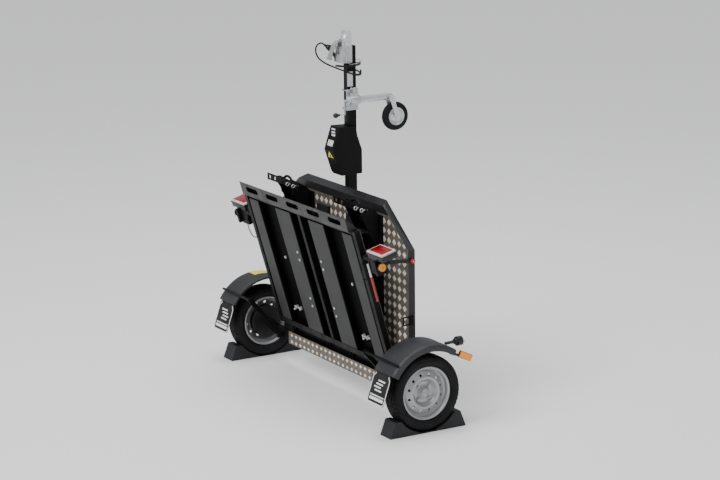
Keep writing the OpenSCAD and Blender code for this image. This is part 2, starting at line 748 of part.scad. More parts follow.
// The handle turns on a cross pin and curls back over the bracket.
module coupling_handle() {
    path = [[handle_y - 6, handle_z + 8], [handle_y - 30, handle_z + 14], [18, 2456], [0, 2440], [-14, 2412], [-28, 2378], [-38, 2348]];
    color("lightgray") {
        rod_x(-head_hw - 8, head_hw + 8, handle_y, handle_z, 5);
        rod_x(-24, 24, handle_y, handle_z, 11);
        along_x(-23, 23) {
            for (i = [0 : len(path) - 2]) strap2d(path[i], path[i + 1], 7);
            for (p = path) translate(p) circle(3.5);
        }
        rod_x(-27, 27, -38, 2348, 8);
    }
}

// ---- Jockey wheel ----

module jockey_clamp() {
    z0 = jock_z - clamp_h / 2;
    y0 = draw_y - 10;
    y1 = draw_y + bar_d + 10;
    ring = tube_r + 8;
    color("silver") difference() {
        union() {
            box([bar_w / 2, y0, z0], [bar_w / 2 + 6, y1, z0 + clamp_h]);
            rod_y(jock_x, y0 + 6, y1 - 6, jock_z, ring);
            box([bar_w / 2 + 4, y0 + 6, jock_z - ring], [jock_x, y1 - 6, jock_z + ring]);
            box([jock_x - 14, y0 + 20, jock_z + ring - 6], [jock_x + 14, y1 - 20, jock_z + ring + 18]);
            for (z = [z0 + 4, z0 + clamp_h - 16]) box([-bar_w / 2 - 8, y0, z], [-bar_w / 2, y1, z + 12]);
            for (z = [z0 + 10, z0 + clamp_h - 10]) for (y = [y0 + 5, y1 - 5])
                rod_x(-bar_w / 2 - 8, bar_w / 2 + 8, y, z, 3);
        }
        rod_y(jock_x, y0 - 1, y1 + 1, jock_z, tube_r + run);
        translate([jock_x, draw_mid, jock_z]) cylinder(h = ring + 40, r = 6 + run);
    }
}

module clamp_screw() {
    top = jock_z + tube_r + 26;
    color("silver") {
        translate([jock_x, draw_mid, jock_z + tube_r + 1]) cylinder(h = 62, r = 6);
        translate([jock_x, draw_mid, top + 8]) cylinder(h = 14, r = 10);
        rod_y(jock_x, draw_mid - 22, draw_mid + 22, top + 32, 4);
        for (s = [-1, 1]) translate([jock_x, draw_mid + s * 22, top + 32]) sphere(7);
    }
}

module jockey_tube() {
    color("silver") difference() {
        union() {
            rod_y(jock_x, tube_start, tube_end, jock_z, tube_r);
            rod_y(jock_x, tube_start - 6, tube_start, jock_z, tube_r + 3);
        }
        rod_y(jock_x, tube_start + 14, tube_end + 1, jock_z, stem_r + run);
        rod_y(jock_x, tube_start - 8, tube_start + 20, jock_z, 7 + run);
    }
}

module jockey_crank() {
    y = tube_start - 30;
    color("silver") {
        rod_y(jock_x, y - 4, tube_start + 40, jock_z, 7);
        rod_y(jock_x, tube_start - 14, tube_start - 7, jock_z, 14);
        translate([jock_x, y, jock_z]) rotate([90, 0, 0]) linear_extrude(7) {
            circle(11);
            strap2d([0, 0], [0, -92], 16);
            translate([0, -92]) circle(11);
        }
    }
    color("#161618") {
        rod_y(jock_x, y - 52, y - 2, jock_z - 92, 8);
        rod_y(jock_x, y - 54, y - 8, jock_z - 92, 14);
    }
}

module jockey_stem() {
    color("silver") difference() {
        rod_y(jock_x, tube_start + 50, fork_y - 20, jock_z, stem_r);
        rod_y(jock_x, tube_start + 49, tube_start + 52 + stem_travel, jock_z, 8.5);
        rod_y(jock_x, fork_y - 62, fork_y - 19, jock_z, 10 + run);
    }
}

module jockey_swivel() {
    color("silver") difference() {
        union() {
            rod_y(jock_x, fork_y - 60, fork_y - 14, jock_z, 10);
            rod_y(jock_x, fork_y - 19.5, fork_y - 13, jock_z, stem_r);
            box([jock_x - 13, fork_y - 14, jock_z - 18], [jock_x + 13, fork_y + 14, jock_z + 18]);
        }
        rod_x(jock_x - 20, jock_x + 20, fork_y, jock_z, 8 + run);
    }
}

module jockey_fork() {
    axle_hole = 6;
    color("silver") {
        rod_x(jock_x - 40, jock_x + 40, fork_y, jock_z, 8);
        for (s = [-1, 1]) along_x(jock_x + s * 34 - 2.5, jock_x + s * 34 + 2.5) difference() {
            union() {
                translate([fork_y, jock_z]) circle(18);
                translate([wheel_y, wheel_z]) circle(15);
                polygon([[fork_y - 17, jock_z - 4], [fork_y + 18, jock_z + 2], [wheel_y + 15, wheel_z],
                    [wheel_y - 15, wheel_z]]);
            }
            translate([wheel_y, wheel_z]) circle(axle_hole);
        }
        for (s = [-1, 1]) rod_x(jock_x + s * 23 - 8.5, jock_x + s * 23 + 8.5, fork_y, jock_z, 12);
        rod_x(jock_x - 42, jock_x + 42, wheel_y, wheel_z, axle_hole);
        for (s = [-1, 1]) rod_x(jock_x + s * 40 - 4, jock_x + s * 40 + 4, wheel_y, wheel_z, 10, $fn = 6);
    }
}

module jockey_wheel() {
    r = jockey_d / 2;
    w = 25;
    translate([jock_x, wheel_y, wheel_z]) rotate([0, 90, 0]) {
        color("#17171a") rotate_extrude($fn = 96) polygon([[62, -w + 2], [80, -w], [r - 10, -w + 3], [r - 2, -w + 12],
            [r, 0], [r - 2, w - 12], [r - 10, w - 3], [80, w], [62, w - 2]]);
        color("silver") rotate_extrude($fn = 96) polygon([[6 + run, -30], [14, -30], [16, -10], [46, -8], [56, -w + 3],
            [62, -w + 2], [62, w - 2], [56, w - 3], [46, 8], [16, 10], [14, 30], [6 + run, 30]]);
    }
}

// ---- Strut that locks the two halves, plug holder, cables ----

strut_y = frame_y + 24;
strut_z = 1104;
strut_x = front_hw + 12;
hook = [-128, 1122];

module lock_strut() {
    color("firebrick") {
        rod_x(front_hw, strut_x + 10, strut_y, strut_z, 6);
        along_x(strut_x - 6, strut_x) difference() {
            union() {
                translate([strut_y, strut_z]) circle(16);
                strap2d([strut_y, strut_z], hook, 26);
                translate(hook) circle(18);
            }
            translate(hook) circle(8);
            translate(hook - [8, 30]) square([16, 30]);
        }
        rod_x(strut_x, strut_x + 14, strut_y, strut_z, 14);
    }
}

plug_tip = [-50, 8, 2403];
plug_end = cable_route[len(cable_route) - 1];

// Cylinder between two points of the plane x = constant.
module rod_between(a, b, r) {
    d = b - a;
    translate(a) rotate([-atan2(d[1], d[2]), 0, 0]) cylinder(h = norm(d), r = r);
}

module plug() {
    d = (plug_end - plug_tip) / norm(plug_end - plug_tip);
    color("#141414") {
        rod_between(plug_tip, plug_tip + d * 42, 17);
        rod_between(plug_tip + d * 40, plug_end, 9);
        rod_between(plug_tip + d * 18, plug_tip + d * 26, 20);
    }
}

module plug_holder() {
    d = (plug_end - plug_tip) / norm(plug_end - plug_tip);
    color("#1a1a1a") difference() {
        union() {
            rod_between(plug_tip - d * 8, plug_tip + d * 17, 22);
            along_x(-bracket_hw - 6, -bracket_hw) strap2d([6, 2396], [bracket_y + 12, bracket_z + 16], 22);
            box([-bracket_hw - 6, bracket_y - 6, bracket_z + 4], [-bracket_hw, bracket_y + 26, bracket_z + 28]);
        }
        rod_between(plug_tip, plug_tip + d * 60, 17.4);
    }
}

module cable_gland() {
    x = cable_route[0][0];
    color("#1a1a1a") {
        box([x - 14, draw_mid - 14, 2160], [-bar_w / 2, draw_mid + 14, 2186]);
        translate([x, draw_mid, 2186]) cylinder(h = 12, r = 12, $fn = 6);
        translate([x, draw_mid, 2198]) cylinder(h = 17, r = 8);
        for (h = [[212, 2223, 2250], [206, 2290, 2308]]) {
            box([-6, draw_y + bar_d, h[1] - 6], [6, h[0], h[1]]);
            box([-6, h[0] - 6, h[1] - 6], [6, h[0], h[2]]);
        }
    }
}

module main_cable() {
    color("#0c0c0c") tube_along(cable_route, cable_d / 2, 8, [0, 1, 0]);
}

module breakaway_wire() {
    color("silver") tube_along(wire_route, wire_d / 2, 8, [0, 0, 1]);
}

// ---- Rear half ----

module rear_lug2d() {
    difference() {
        union() {
            circle(lug_r);
            polygon([[-2, lug_r - 1], [6, -lug_r + 3], [rear_plate - 20, rear_low + 1], [rear_plate - 20, rear_low + 24],
                [rear_plate - 1, rear_low + 40]]);
        }
        circle(pin_r + run);
    }
}

module rear_frame() {
    e = frame_wall;
    color("#1b1b1e") on_rear() {
        both() difference() {
            box([rear_hw - rail_w, rear_back, rear_low], [rear_hw, rear_plate, strip_low]);
            box([rear_hw - rail_w - 1, rear_back + e, rear_low + e], [rear_hw - e, rear_plate - e, strip_low - e]);
        }
        difference() {
            box([-rear_hw + 1, rear_back, rear_low], [rear_hw - 1, rear_plate, rear_low + rear_sill]);
            box([-rear_hw + e, rear_back + e, rear_low + e], [rear_hw - e, rear_plate - e, rear_low + rear_sill + 1]);
        }
        difference() {
            box([-rear_hw + 1, rear_back + 8, strip_low - 34], [rear_hw - 1, rear_plate, strip_low]);
            box([-rear_hw + e, rear_back + 8 + e, strip_low - 35], [rear_hw - e, rear_plate - e, strip_low - e]);
        }
        difference() {
            box([-17, rear_back + 2, rear_low + 1], [17, rear_plate, strip_low - 1]);
            box([-17 + e, rear_back + 2 + e, rear_low + rear_sill], [17 - e, rear_plate + 1, strip_low - 34]);
        }
        for (c = hinge_x) translate([c - lug_gap / 2 - lug_t, 0, 0]) rotate([90, 0, 90])
            linear_extrude(lug_t) rear_lug2d();
    }
}

// Folded sheet ribs with soft bends: closed hats on the underside of the deck.
module rib2d(x0, x1) {
    t = 2.5;
    e = 14;
    d = rear_back;
    p = rear_plate - plate_t;
    polygon([[x0, p], [x0 + 3, d + e], [x0 + e, d], [x1 - e, d], [x1 - 3, d + e], [x1, p],
        [x1 - t, p], [x1 - 3 - t, d + e], [x1 - e - 1, d + t], [x0 + e + 1, d + t],
        [x0 + 3 + t, d + e], [x0 + t, p]]);
}

module rear_ribs() {
    low = rear_low + rear_sill + 2;
    color("#4a4a4e") on_rear() {
        for (k = [0, 1]) both() translate([0, 0, low]) linear_extrude(strip_low - 36 - low)
            rib2d(rib_in[k], rib_out[k]);
        both() box([17, rear_plate - plate_t, low], [rear_hw - rail_w, rear_plate - 1, strip_low - 36]);
    }
}

module rear_deck() {
    color("tan") on_rear() {
        box([-rear_hw, rear_plate, rear_low + 36], [rear_hw, -deck_gap, strip_low]);
        for (s = [-1, 1]) track(s * lane_x, -deck_gap, 1, 240, strip_low);
    }
}

module rear_strip() {
    t = 3;
    color("#47474b") on_rear() difference() {
        union() {
            box([-strip_hw, strip_out, strip_low], [strip_hw, strip_out + t, rear_len]);
            translate([-strip_hw, 0, 0]) rotate([90, 0, 90]) linear_extrude(2 * strip_hw)
                polygon([[strip_out, rear_len], [-deck_gap, strip_low + 4], [-deck_gap - t, strip_low],
                    [strip_out, rear_len - 4]]);
            box([-strip_hw, strip_out, strip_low], [strip_hw, rear_back, strip_low + t]);
            for (x = [-strip_hw, strip_hw - t]) translate([x, 0, 0]) rotate([90, 0, 90]) linear_extrude(t)
                polygon([[strip_out, strip_low], [strip_out, rear_len], [-deck_gap, strip_low + 4], [-deck_gap - 3, strip_low]]);
            both() box([strip_hw - 60, rear_back - 1, strip_low - 20], [strip_hw - 20, rear_back + 8, strip_low + t]);
        }
        for (i = [-2 : 2]) hull() for (s = [-1, 1])
            translate([i * slot_pitch + s * (slot_l - slot_h) / 2, strip_out - 1, strip_low + 54])
                rotate([-90, 0, 0]) cylinder(h = t + 2, r = slot_h / 2, $fn = 32);
    }
}

module rear_lamps() {
    color("firebrick") on_rear() both() {
        box([lamp_in, lamp_n, lamp_u + 34], [lamp_in + lamp_w, lamp_n + lamp_d, lamp_u + lamp_h]);
        box([lamp_in + 4, lamp_n + 4, lamp_u], [lamp_in + lamp_w - 4, lamp_n + lamp_d - 4, lamp_u + 34]);
    }
}

module lamp_brackets() {
    a = hook - [hinge_y, hinge_z];
    pin = [a[0] * cos(rear_tilt) + a[1] * sin(rear_tilt), a[1] * cos(rear_tilt) - a[0] * sin(rear_tilt)];
    color("#161618") on_rear() both() {
        box([rear_hw, rear_back + 10, 846], [lamp_in + lamp_w - 70, rear_plate - 6, lamp_u]);
        box([lamp_in + 4, -40, 760], [lamp_in + 96, 30, lamp_u]);
        box([lamp_in + 90, amber_n - 30, amber_u - 60], [lamp_in + 118, amber_n + 34, lamp_u]);
        rod_x(lamp_in + 118, amber_x - 8, amber_n, amber_u, 12);
        rod_x(lamp_in + 20, strut_x + 8, pin[0], pin[1], 6);
        box([lamp_in + 20, 0, pin[1] - 18], [lamp_in + 32, pin[0] + 16, pin[1] + 18]);
    }
}

module lamp_cables() {
    color("#0c0c0c") on_rear() both() tube_along(lead_route, lead_d / 2, 8, [0, 0, 1]);
}

module amber_reflectors() {
    on_rear() both() {
        color("orange") rod_x(amber_x, amber_x + 8, amber_n, amber_u, amber_r - 3);
        color("#1a1a1a") rod_x(amber_x - 8, amber_x, amber_n, amber_u, amber_r);
    }
}

module deck_bolts() {
    color("silver") on_rear() both() {
        for (u = [279, 340, 638, 698]) rod_y(165, rear_back - 6, rear_back, u, 10, $fn = 6);
        rod_y(lane_x, rear_plate - plate_t - 8, rear_plate - plate_t, 578, 11, $fn = 6);
        for (x = [-26, 26]) translate([lane_x + x, 0, latch_u]) difference() {
            box([-7, latch_n - 10, -12], [7, rear_plate - plate_t, 12]);
            rod_x(-8, 8, latch_n, 0, 6 + run);
        }
    }
}

module latch(side) {
    color("silver") on_rear() mirror([side < 0 ? 1 : 0, 0, 0]) {
        rod_x(lane_x - 44, lane_x + 58, latch_n, latch_u, 6);
        rod_y(lane_x + 12, latch_n - 24, latch_n, latch_u, 4);
        translate([lane_x + 12, latch_n - 26, latch_u]) sphere(8);
    }
}

module latch_left() { latch(-1); }
module latch_right() { latch(1); }

axle_beam();
hinge_lugs();
hinge_pins();
axle_apron();
swing_arms();
fenders();
fender_arms();
mudflaps();
side_marker_bases();
side_marker_lenses();
front_lamp_bodies();
front_lamp_lenses();
cradles();
tyre_left();
tyre_right();
rim_left();
rim_right();
hub_left();
hub_right();
front_frame();
front_deck();
front_tracks();
drawbar();
chock_frames();
chock_bars();
eye_bolts();
chock_rocker_left();
chock_rocker_right();
lashing_eyes();
rubber_buffers();
winch_cover();
winch_drum();
coupling_bracket();
coupling_head();
coupling_handle();
jockey_clamp();
clamp_screw();
jockey_tube();
jockey_crank();
jockey_stem();
jockey_swivel();
jockey_fork();
jockey_wheel();
lock_strut();
plug_holder();
plug();
cable_gland();
main_cable();
breakaway_wire();
rear_frame();
rear_ribs();
rear_deck();
rear_strip();
rear_lamps();
lamp_brackets();
lamp_cables();
amber_reflectors();
deck_bolts();
latch_left();
latch_right();
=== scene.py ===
"""Folding motorcycle trailer, stored upright on its wheels."""
import json
import math

import bpy
from mathutils import Matrix, Vector


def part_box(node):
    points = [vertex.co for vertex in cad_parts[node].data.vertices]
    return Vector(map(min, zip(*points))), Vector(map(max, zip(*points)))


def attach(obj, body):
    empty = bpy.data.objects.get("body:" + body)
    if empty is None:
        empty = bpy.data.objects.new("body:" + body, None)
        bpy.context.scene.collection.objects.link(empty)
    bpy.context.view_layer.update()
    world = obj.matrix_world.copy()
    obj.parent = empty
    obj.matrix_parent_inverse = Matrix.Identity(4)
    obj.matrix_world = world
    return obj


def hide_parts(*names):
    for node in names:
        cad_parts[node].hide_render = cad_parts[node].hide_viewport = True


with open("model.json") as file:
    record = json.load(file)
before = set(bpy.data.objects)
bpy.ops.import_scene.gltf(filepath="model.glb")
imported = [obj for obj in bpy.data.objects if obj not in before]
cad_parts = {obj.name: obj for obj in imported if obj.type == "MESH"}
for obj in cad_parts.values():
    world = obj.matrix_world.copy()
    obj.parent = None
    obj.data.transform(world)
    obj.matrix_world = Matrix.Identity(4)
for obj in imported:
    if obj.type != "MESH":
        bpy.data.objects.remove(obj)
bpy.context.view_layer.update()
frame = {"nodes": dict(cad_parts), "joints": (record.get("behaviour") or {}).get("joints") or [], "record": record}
MM = 0.001
NODES = frame["nodes"]

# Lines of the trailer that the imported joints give.
JOINTS = {j["name"]: j for j in frame["joints"]}
HINGE = Vector(JOINTS["rear_fold"]["pos_m"])
TILT = math.radians(90 - JOINTS["rear_fold"]["range_deg"][1])
HUB = Vector(JOINTS["wheel_right_spin"]["pos_m"])
JOCKEY = Vector(JOINTS["jockey_wheel_spin"]["pos_m"])


# ---- Camera ----

def place_camera():
    azimuth, elevation, roll = math.radians(59.37), math.radians(13.23), math.radians(-0.67)
    ahead = Vector((-math.sin(azimuth) * math.cos(elevation), math.cos(azimuth) * math.cos(elevation),
                    -math.sin(elevation)))
    right = Vector((math.cos(azimuth), math.sin(azimuth), 0))
    up = right.cross(ahead)
    side = math.cos(roll) * right + math.sin(roll) * up
    top = math.cos(roll) * up - math.sin(roll) * right
    data = bpy.data.cameras.new("camera")
    data.sensor_width = 36
    data.lens = 122.74
    data.clip_end = 200
    camera = bpy.data.objects.new("camera", data)
    bpy.context.scene.collection.objects.link(camera)
    turn = Matrix((side, top, -ahead)).transposed().to_4x4()
    camera.matrix_world = Matrix.Translation((14.30, -8.28, 4.96)) @ turn
    bpy.context.scene.camera = camera


place_camera()


# ---- Materials ----

def new_material(name, color, roughness, metallic=0.0, coat=0.0, coat_roughness=0.1, specular=0.5):
    """A material with its Principled shader and texture coordinates."""
    material = bpy.data.materials.new(name)
    material.use_nodes = True
    shader = material.node_tree.nodes["Principled BSDF"]
    shader.inputs["Base Color"].default_value = (*color, 1)
    shader.inputs["Roughness"].default_value = roughness
    shader.inputs["Metallic"].default_value = metallic
    shader.inputs["Coat Weight"].default_value = coat
    shader.inputs["Coat Roughness"].default_value = coat_roughness
    shader.inputs["Specular IOR Level"].default_value = specular
    return material, shader


def node(material, kind, **values):
    made = material.node_tree.nodes.new(kind)
    for key, value in values.items():
        if key in made.inputs:
            made.inputs[key].default_value = value
        else:
            setattr(made, key, value)
    return made


def link(material, source, target):
    material.node_tree.links.new(source, target)


def noise(material, scale, detail=4.0, rough=0.5, stretch=(1, 1, 1), distortion=0.0):
    """Noise on object coordinates; returns its value socket."""
    coords = node(material, "ShaderNodeTexCoord")
    mapping = node(material, "ShaderNodeMapping")
    mapping.inputs["Scale"].default_value = stretch
    texture = node(material, "ShaderNodeTexNoise")
    texture.inputs["Scale"].default_value = scale
    texture.inputs["Detail"].default_value = detail
    texture.inputs["Roughness"].default_value = rough
    texture.inputs["Distortion"].default_value = distortion
    link(material, coords.outputs["Object"], mapping.inputs["Vector"])
    link(material, mapping.outputs["Vector"], texture.inputs["Vector"])
    return texture.outputs["Fac"]


def ramp(material, value, stops):
    """Colours between stops of (position, colour)."""
    made = node(material, "ShaderNodeValToRGB")
    elements = made.color_ramp.elements
    while len(elements) < len(stops):
        elements.new(0.5)
    for element, (position, color) in zip(elements, stops):
        element.position = position
        element.color = (*color, 1)
    link(material, value, made.inputs["Fac"])
    return made.outputs["Color"]


def spread(material, value, low, high, new_low, new_high):
    made = node(material, "ShaderNodeMapRange")
    made.inputs["From Min"].default_value = low
    made.inputs["From Max"].default_value = high
    made.inputs["To Min"].default_value = new_low
    made.inputs["To Max"].default_value = new_high
    link(material, value, made.inputs["Value"])
    return made.outputs["Result"]


def blend_colors(material, factor, first, second):
    made = node(material, "ShaderNodeMix", data_type="RGBA")
    link(material, factor, made.inputs[0])
    for socket, color in ((made.inputs[6], first), (made.inputs[7], second)):
        if isinstance(color, tuple):
            socket.default_value = (*color, 1)
        else:
            link(material, color, socket)
    return made.outputs[2]


def bump(material, shader, value, strength, distance):
    made = node(material, "ShaderNodeBump")
    made.inputs["Strength"].default_value = strength
    made.inputs["Distance"].default_value = distance
    link(material, value, made.inputs["Height"])
    link(material, made.outputs["Normal"], shader.inputs["Normal"])


def tint(color, share):
    return tuple(min(1.0, c * share) for c in color)


def powder_coat(name, color, roughness=0.42, dust=0.2, specular=0.28):
    """Satin powder coat: orange peel, faint dust and uneven gloss."""
    material, shader = new_material(name, color, roughness, specular=specular)
    clouds = noise(material, 3.5, 6)
    dusty = spread(material, clouds, 0.48, 0.75, 0, dust)
    grey = tuple(c * 1.3 + 0.012 for c in color)
    link(material, blend_colors(material, dusty, color, grey), shader.inputs["Base Color"])
    gloss = noise(material, 14, 5)
    link(material, spread(material, gloss, 0.3, 0.7, roughness - 0.06, roughness + 0.12),
         shader.inputs["Roughness"])
    bump(material, shader, noise(material, 900, 2), 0.12, 0.0006)
    return material


def zinc(name, color, roughness=0.34, spangle=90, metallic=0.55):
    """Zinc plate with soft patches and fine scratches."""
    material, shader = new_material(name, color, roughness, metallic=metallic)
    patches = noise(material, spangle, 3, distortion=0.6)
    link(material, ramp(material, patches, [(0.3, tint(color, 0.88)), (0.7, tint(color, 1.06))]),
         shader.inputs["Base Color"])
    scratches = noise(material, 60, 8, 0.7, stretch=(1, 14, 1))
    link(material, spread(material, scratches, 0.3, 0.7, roughness - 0.08, roughness + 0.16),
         shader.inputs["Roughness"])
    bump(material, shader, scratches, 0.1, 0.0003)
    return material


def tread_metal(name, color, roughness, metallic, dirt):
    """Plate metal with grime in the low spots."""
    material, shader = new_material(name, color, roughness, metallic=metallic)
    grime = noise(material, 22, 8, 0.65)
    fine = noise(material, 240, 4)
    tone = ramp(material, grime, [(0.32, dirt), (0.62, color)])
    link(material, blend_colors(material, spread(material, fine, 0.4, 0.7, 0, 0.35), tone, dirt),
         shader.inputs["Base Color"])
    link(material, spread(material, fine, 0.3, 0.7, roughness - 0.1, roughness + 0.15),
         shader.inputs["Roughness"])
    bump(material, shader, fine, 0.2, 0.0004)
    return material


def rubber(name, color, roughness=0.72):
    """Rubber with a light bloom and a fine skin."""
    material, shader = new_material(name, color, roughness, specular=0.2)
    bloom = noise(material, 7, 6, 0.6)
    pale = tuple(c + 0.01 for c in color)
    link(material, blend_colors(material, spread(material, bloom, 0.45, 0.75, 0, 0.8), color, pale),
         shader.inputs["Base Color"])
    bump(material, shader, noise(material, 420, 4), 0.25, 0.0005)
    return material


def plastic(name, color, roughness=0.5, grain=650, depth=0.0007):
    """Moulded plastic with a leathery grain."""
    material, shader = new_material(name, color, roughness)
    coords = node(material, "ShaderNodeTexCoord")
    cells = node(material, "ShaderNodeTexVoronoi")
    cells.inputs["Scale"].default_value = grain
    link(material, coords.outputs["Object"], cells.inputs["Vector"])
    tone = noise(material, 5, 5)
    link(material, ramp(material, tone, [(0.3, tint(color, 0.8)), (0.75, tint(color, 1.5))]),
         shader.inputs["Base Color"])
    link(material, spread(material, tone, 0.3, 0.7, roughness - 0.05, roughness + 0.1),
         shader.inputs["Roughness"])
    bump(material, shader, cells.outputs["Distance"], 0.25, depth)
    return material


def lens(name, color, roughness=0.12, transmission=0.0):
    """Clear moulded lens plastic with faint inner ribs."""
    material, shader = new_material(name, color, roughness, coat=0.25, coat_roughness=0.05)
    shader.inputs["Transmission Weight"].default_value = transmission
    shader.inputs["IOR"].default_value = 1.49
    ribs = node(material, "ShaderNodeTexWave")
    ribs.inputs["Scale"].default_value = 75
    ribs.inputs["Distortion"].default_value = 0.3
    coords = node(material, "ShaderNodeTexCoord")
    link(material, coords.outputs["Object"], ribs.inputs["Vector"])
    link(material, ramp(material, ribs.outputs["Fac"], [(0.2, tint(color, 0.72)), (0.8, tint(color, 1.15))]),
         shader.inputs["Base Color"])
    bump(material, shader, ribs.outputs["Fac"], 0.25, 0.0006)
    return material


def print_film(name, color, roughness=0.35):
    """Printed or reflective film with a fine cell pattern."""
    material, shader = new_material(name, color, roughness, coat=0.3, coat_roughness=0.15)
    coords = node(material, "ShaderNodeTexCoord")
    cells = node(material, "ShaderNodeTexVoronoi")
    cells.inputs["Scale"].default_value = 320
    link(material, coords.outputs["Object"], cells.inputs["Vector"])
    link(material, ramp(material, cells.outputs["Distance"], [(0.1, color), (0.9, tint(color, 0.78))]),
         shader.inputs["Base Color"])
    bump(material, shader, cells.outputs["Distance"], 0.1, 0.0002)
    return material


def channel_shade_mask(material, low, high):
    """Painted shade mask: 0 where the rear half's sheet stands out of its deck, 1 down in its channels, where
    shade is painted in.
    """
    coords = node(material, "ShaderNodeTexCoord")
    depth = node(material, "ShaderNodeVectorMath")
    depth.operation = "DOT_PRODUCT"
    link(material, coords.outputs["Object"], depth.inputs[0])
    depth.inputs[1].default_value = (0, math.cos(TILT), math.sin(TILT))
    shift = HINGE.y * math.cos(TILT) + HINGE.z * math.sin(TILT)
    return spread(material, depth.outputs["Value"], shift + low, shift + high, 0, 1)


def rib_coat(name, raised, channel_shade_color):
    """Coat of the ribbed sheet: its own grey on its flats; down in its channels a near-black colour and almost no
    specular, painted shade for the shade between the ribs.
    """
    material, shader = new_material(name, raised, 0.5, specular=0.25)
    clouds = noise(material, 4, 6)
    flats = ramp(material, clouds, [(0.35, tint(raised, 0.8)), (0.7, tint(raised, 1.25))])
    painted_channel_shade = channel_shade_mask(material, -0.0485, -0.0455)
    # Painted shade: near-black colour down in the channels between the ribs.
    link(material, blend_colors(material, painted_channel_shade, flats, channel_shade_color), shader.inputs["Base Color"])
    # Painted shade: specular cut to almost nothing in the channels, so they show no reflection.
    link(material, spread(material, painted_channel_shade, 0, 1, 0.25, 0.02), shader.inputs["Specular IOR Level"])
    bump(material, shader, noise(material, 900, 2), 0.12, 0.0006)
    return material


def hub_coat(name, outer, inner):
    """Silver on the wheel's outer side and black on the brake side; the black is partly a black backing plate and
    partly painted shade that darkens the rim's holes and the wheel's inside.
    """
    material, shader = new_material(name, outer, 0.45, specular=0.3)
    coords = node(material, "ShaderNodeTexCoord")
    parts = node(material, "ShaderNodeSeparateXYZ")
    link(material, coords.outputs["Object"], parts.inputs[0])
    away = node(material, "ShaderNodeMath", operation="ABSOLUTE")
    link(material, parts.outputs["X"], away.inputs[0])
    side = spread(material, away.outputs[0], HUB.x + 0.006, HUB.x + 0.012, 0, 1)
    grime = noise(material, 30, 6)
    silver = ramp(material, grime, [(0.35, tint(outer, 0.75)), (0.65, tint(outer, 1.1))])
    # Painted shade, in part: the brake side is black so that the rim's holes and the inside of the wheel look
    # dark.
    link(material, blend_colors(material, side, inner, silver), shader.inputs["Base Color"])
    bump(material, shader, grime, 0.15, 0.0005)
    return material


BLACK = powder_coat("black_powder_coat", (0.003, 0.003, 0.0034), 0.46, 0.1, 0.14)
FRAME_EDGE = powder_coat("front_frame_coat", (0.012, 0.012, 0.0135), 0.4, 0.3, 0.4)
# The second colour of the rib coat is painted shade for the channels between the ribs.
RIB_GREY = rib_coat("rib_grey_with_painted_channel_shade", (0.022, 0.023, 0.022), (0.001, 0.001, 0.001))
STRIP_COAT = powder_coat("strip_coat", (0.009, 0.009, 0.0095), 0.38, 0.2, 0.4)
STRUT_COAT = powder_coat("strut_coat", (0.012, 0.014, 0.012), 0.4, 0.2)
CRADLE_GREY = powder_coat("cradle_coat", (0.014, 0.0145, 0.016), 0.5, 0.4)
RED_PAINT = powder_coat("red_strut_paint", (0.5, 0.02, 0.015), 0.3, 0.05)
ZINC = zinc("zinc_plate", (0.5, 0.52, 0.53))
BRIGHT_ZINC = zinc("bright_zinc", (0.66, 0.69, 0.7), 0.3, 40)
HANDLE_GREY = zinc("handle_grey_zinc", (0.3, 0.31, 0.3), 0.4, 60, 0.3)
WIRE_STEEL = zinc("wire_steel", (0.35, 0.35, 0.36), 0.3, 400)
RIM_SILVER = zinc("rim_silver_paint", (0.4, 0.4, 0.41), 0.4, 500)
HUB_STEEL = tread_metal("hub_casting", (0.1, 0.1, 0.1), 0.5, 0.5, (0.035, 0.033, 0.03))
PLATE_BASE = tread_metal("tread_plate_ground", (0.17, 0.145, 0.118), 0.5, 0.3, (0.085, 0.07, 0.055))
PLATE_TOP = tread_metal("tread_plate_studs", (0.86, 0.83, 0.78), 0.4, 0.25, (0.6, 0.56, 0.5))
TYRE = rubber("tyre_rubber", (0.0045, 0.0045, 0.0052), 0.66)
FLAP = rubber("flap_rubber", (0.012, 0.012, 0.013), 0.6)
# The hub's black brake side is partly painted shade for the rim's holes and the wheel's inside.
HUB_FACE = hub_coat("hub_face", (0.36, 0.36, 0.37), (0.004, 0.004, 0.004))
CABLE = rubber("cable_sheath", (0.008, 0.008, 0.009), 0.5)
FENDER = plastic("fender_plastic", (0.017, 0.0175, 0.02), 0.52)
BLACK_PLASTIC = plastic("black_plastic", (0.005, 0.005, 0.0055), 0.42)
AMBER = lens("amber_lens", (0.9, 0.29, 0.0), 0.3)
RED_LENS = lens("red_lens", (0.24, 0.002, 0.006), 0.18)
CLEAR_LENS = lens("clear_lens", (0.82, 0.84, 0.84), 0.1)
PINK_LENS = lens("clear_over_red_lens", (0.62, 0.46, 0.47), 0.14)
WHITE_FILM = print_film("white_film", (0.82, 0.82, 0.82))
SILVER_FILM = print_film("silver_film", (0.66, 0.66, 0.68))
RED_FILM = print_film("red_film", (0.55, 0.015, 0.015))
YELLOW_FILM = print_film("yellow_film", (0.75, 0.72, 0.03))
WARM_FILM = print_film("warm_film", (0.75, 0.68, 0.42))
BLACK_FILM = print_film("black_film", (0.01, 0.01, 0.01))

BY_SLOT = {
    "black_paint": BLACK, "rib_sheet": RIB_GREY, "tread_plate": PLATE_BASE, "galvanised": ZINC,
    "rim_silver": RIM_SILVER, "hub_steel": HUB_FACE, "tyre_rubber": TYRE, "flap_rubber": FLAP,
    "fender_plastic": FENDER, "black_plastic": BLACK_PLASTIC, "amber_lens": AMBER,
    "clear_lens": CLEAR_LENS, "red_lens": RED_LENS, "cradle_paint": CRADLE_GREY,
    "red_paint": RED_PAINT, "grey_wheel": TYRE, "cable_black": CABLE, "wire_steel": WIRE_STEEL,
}


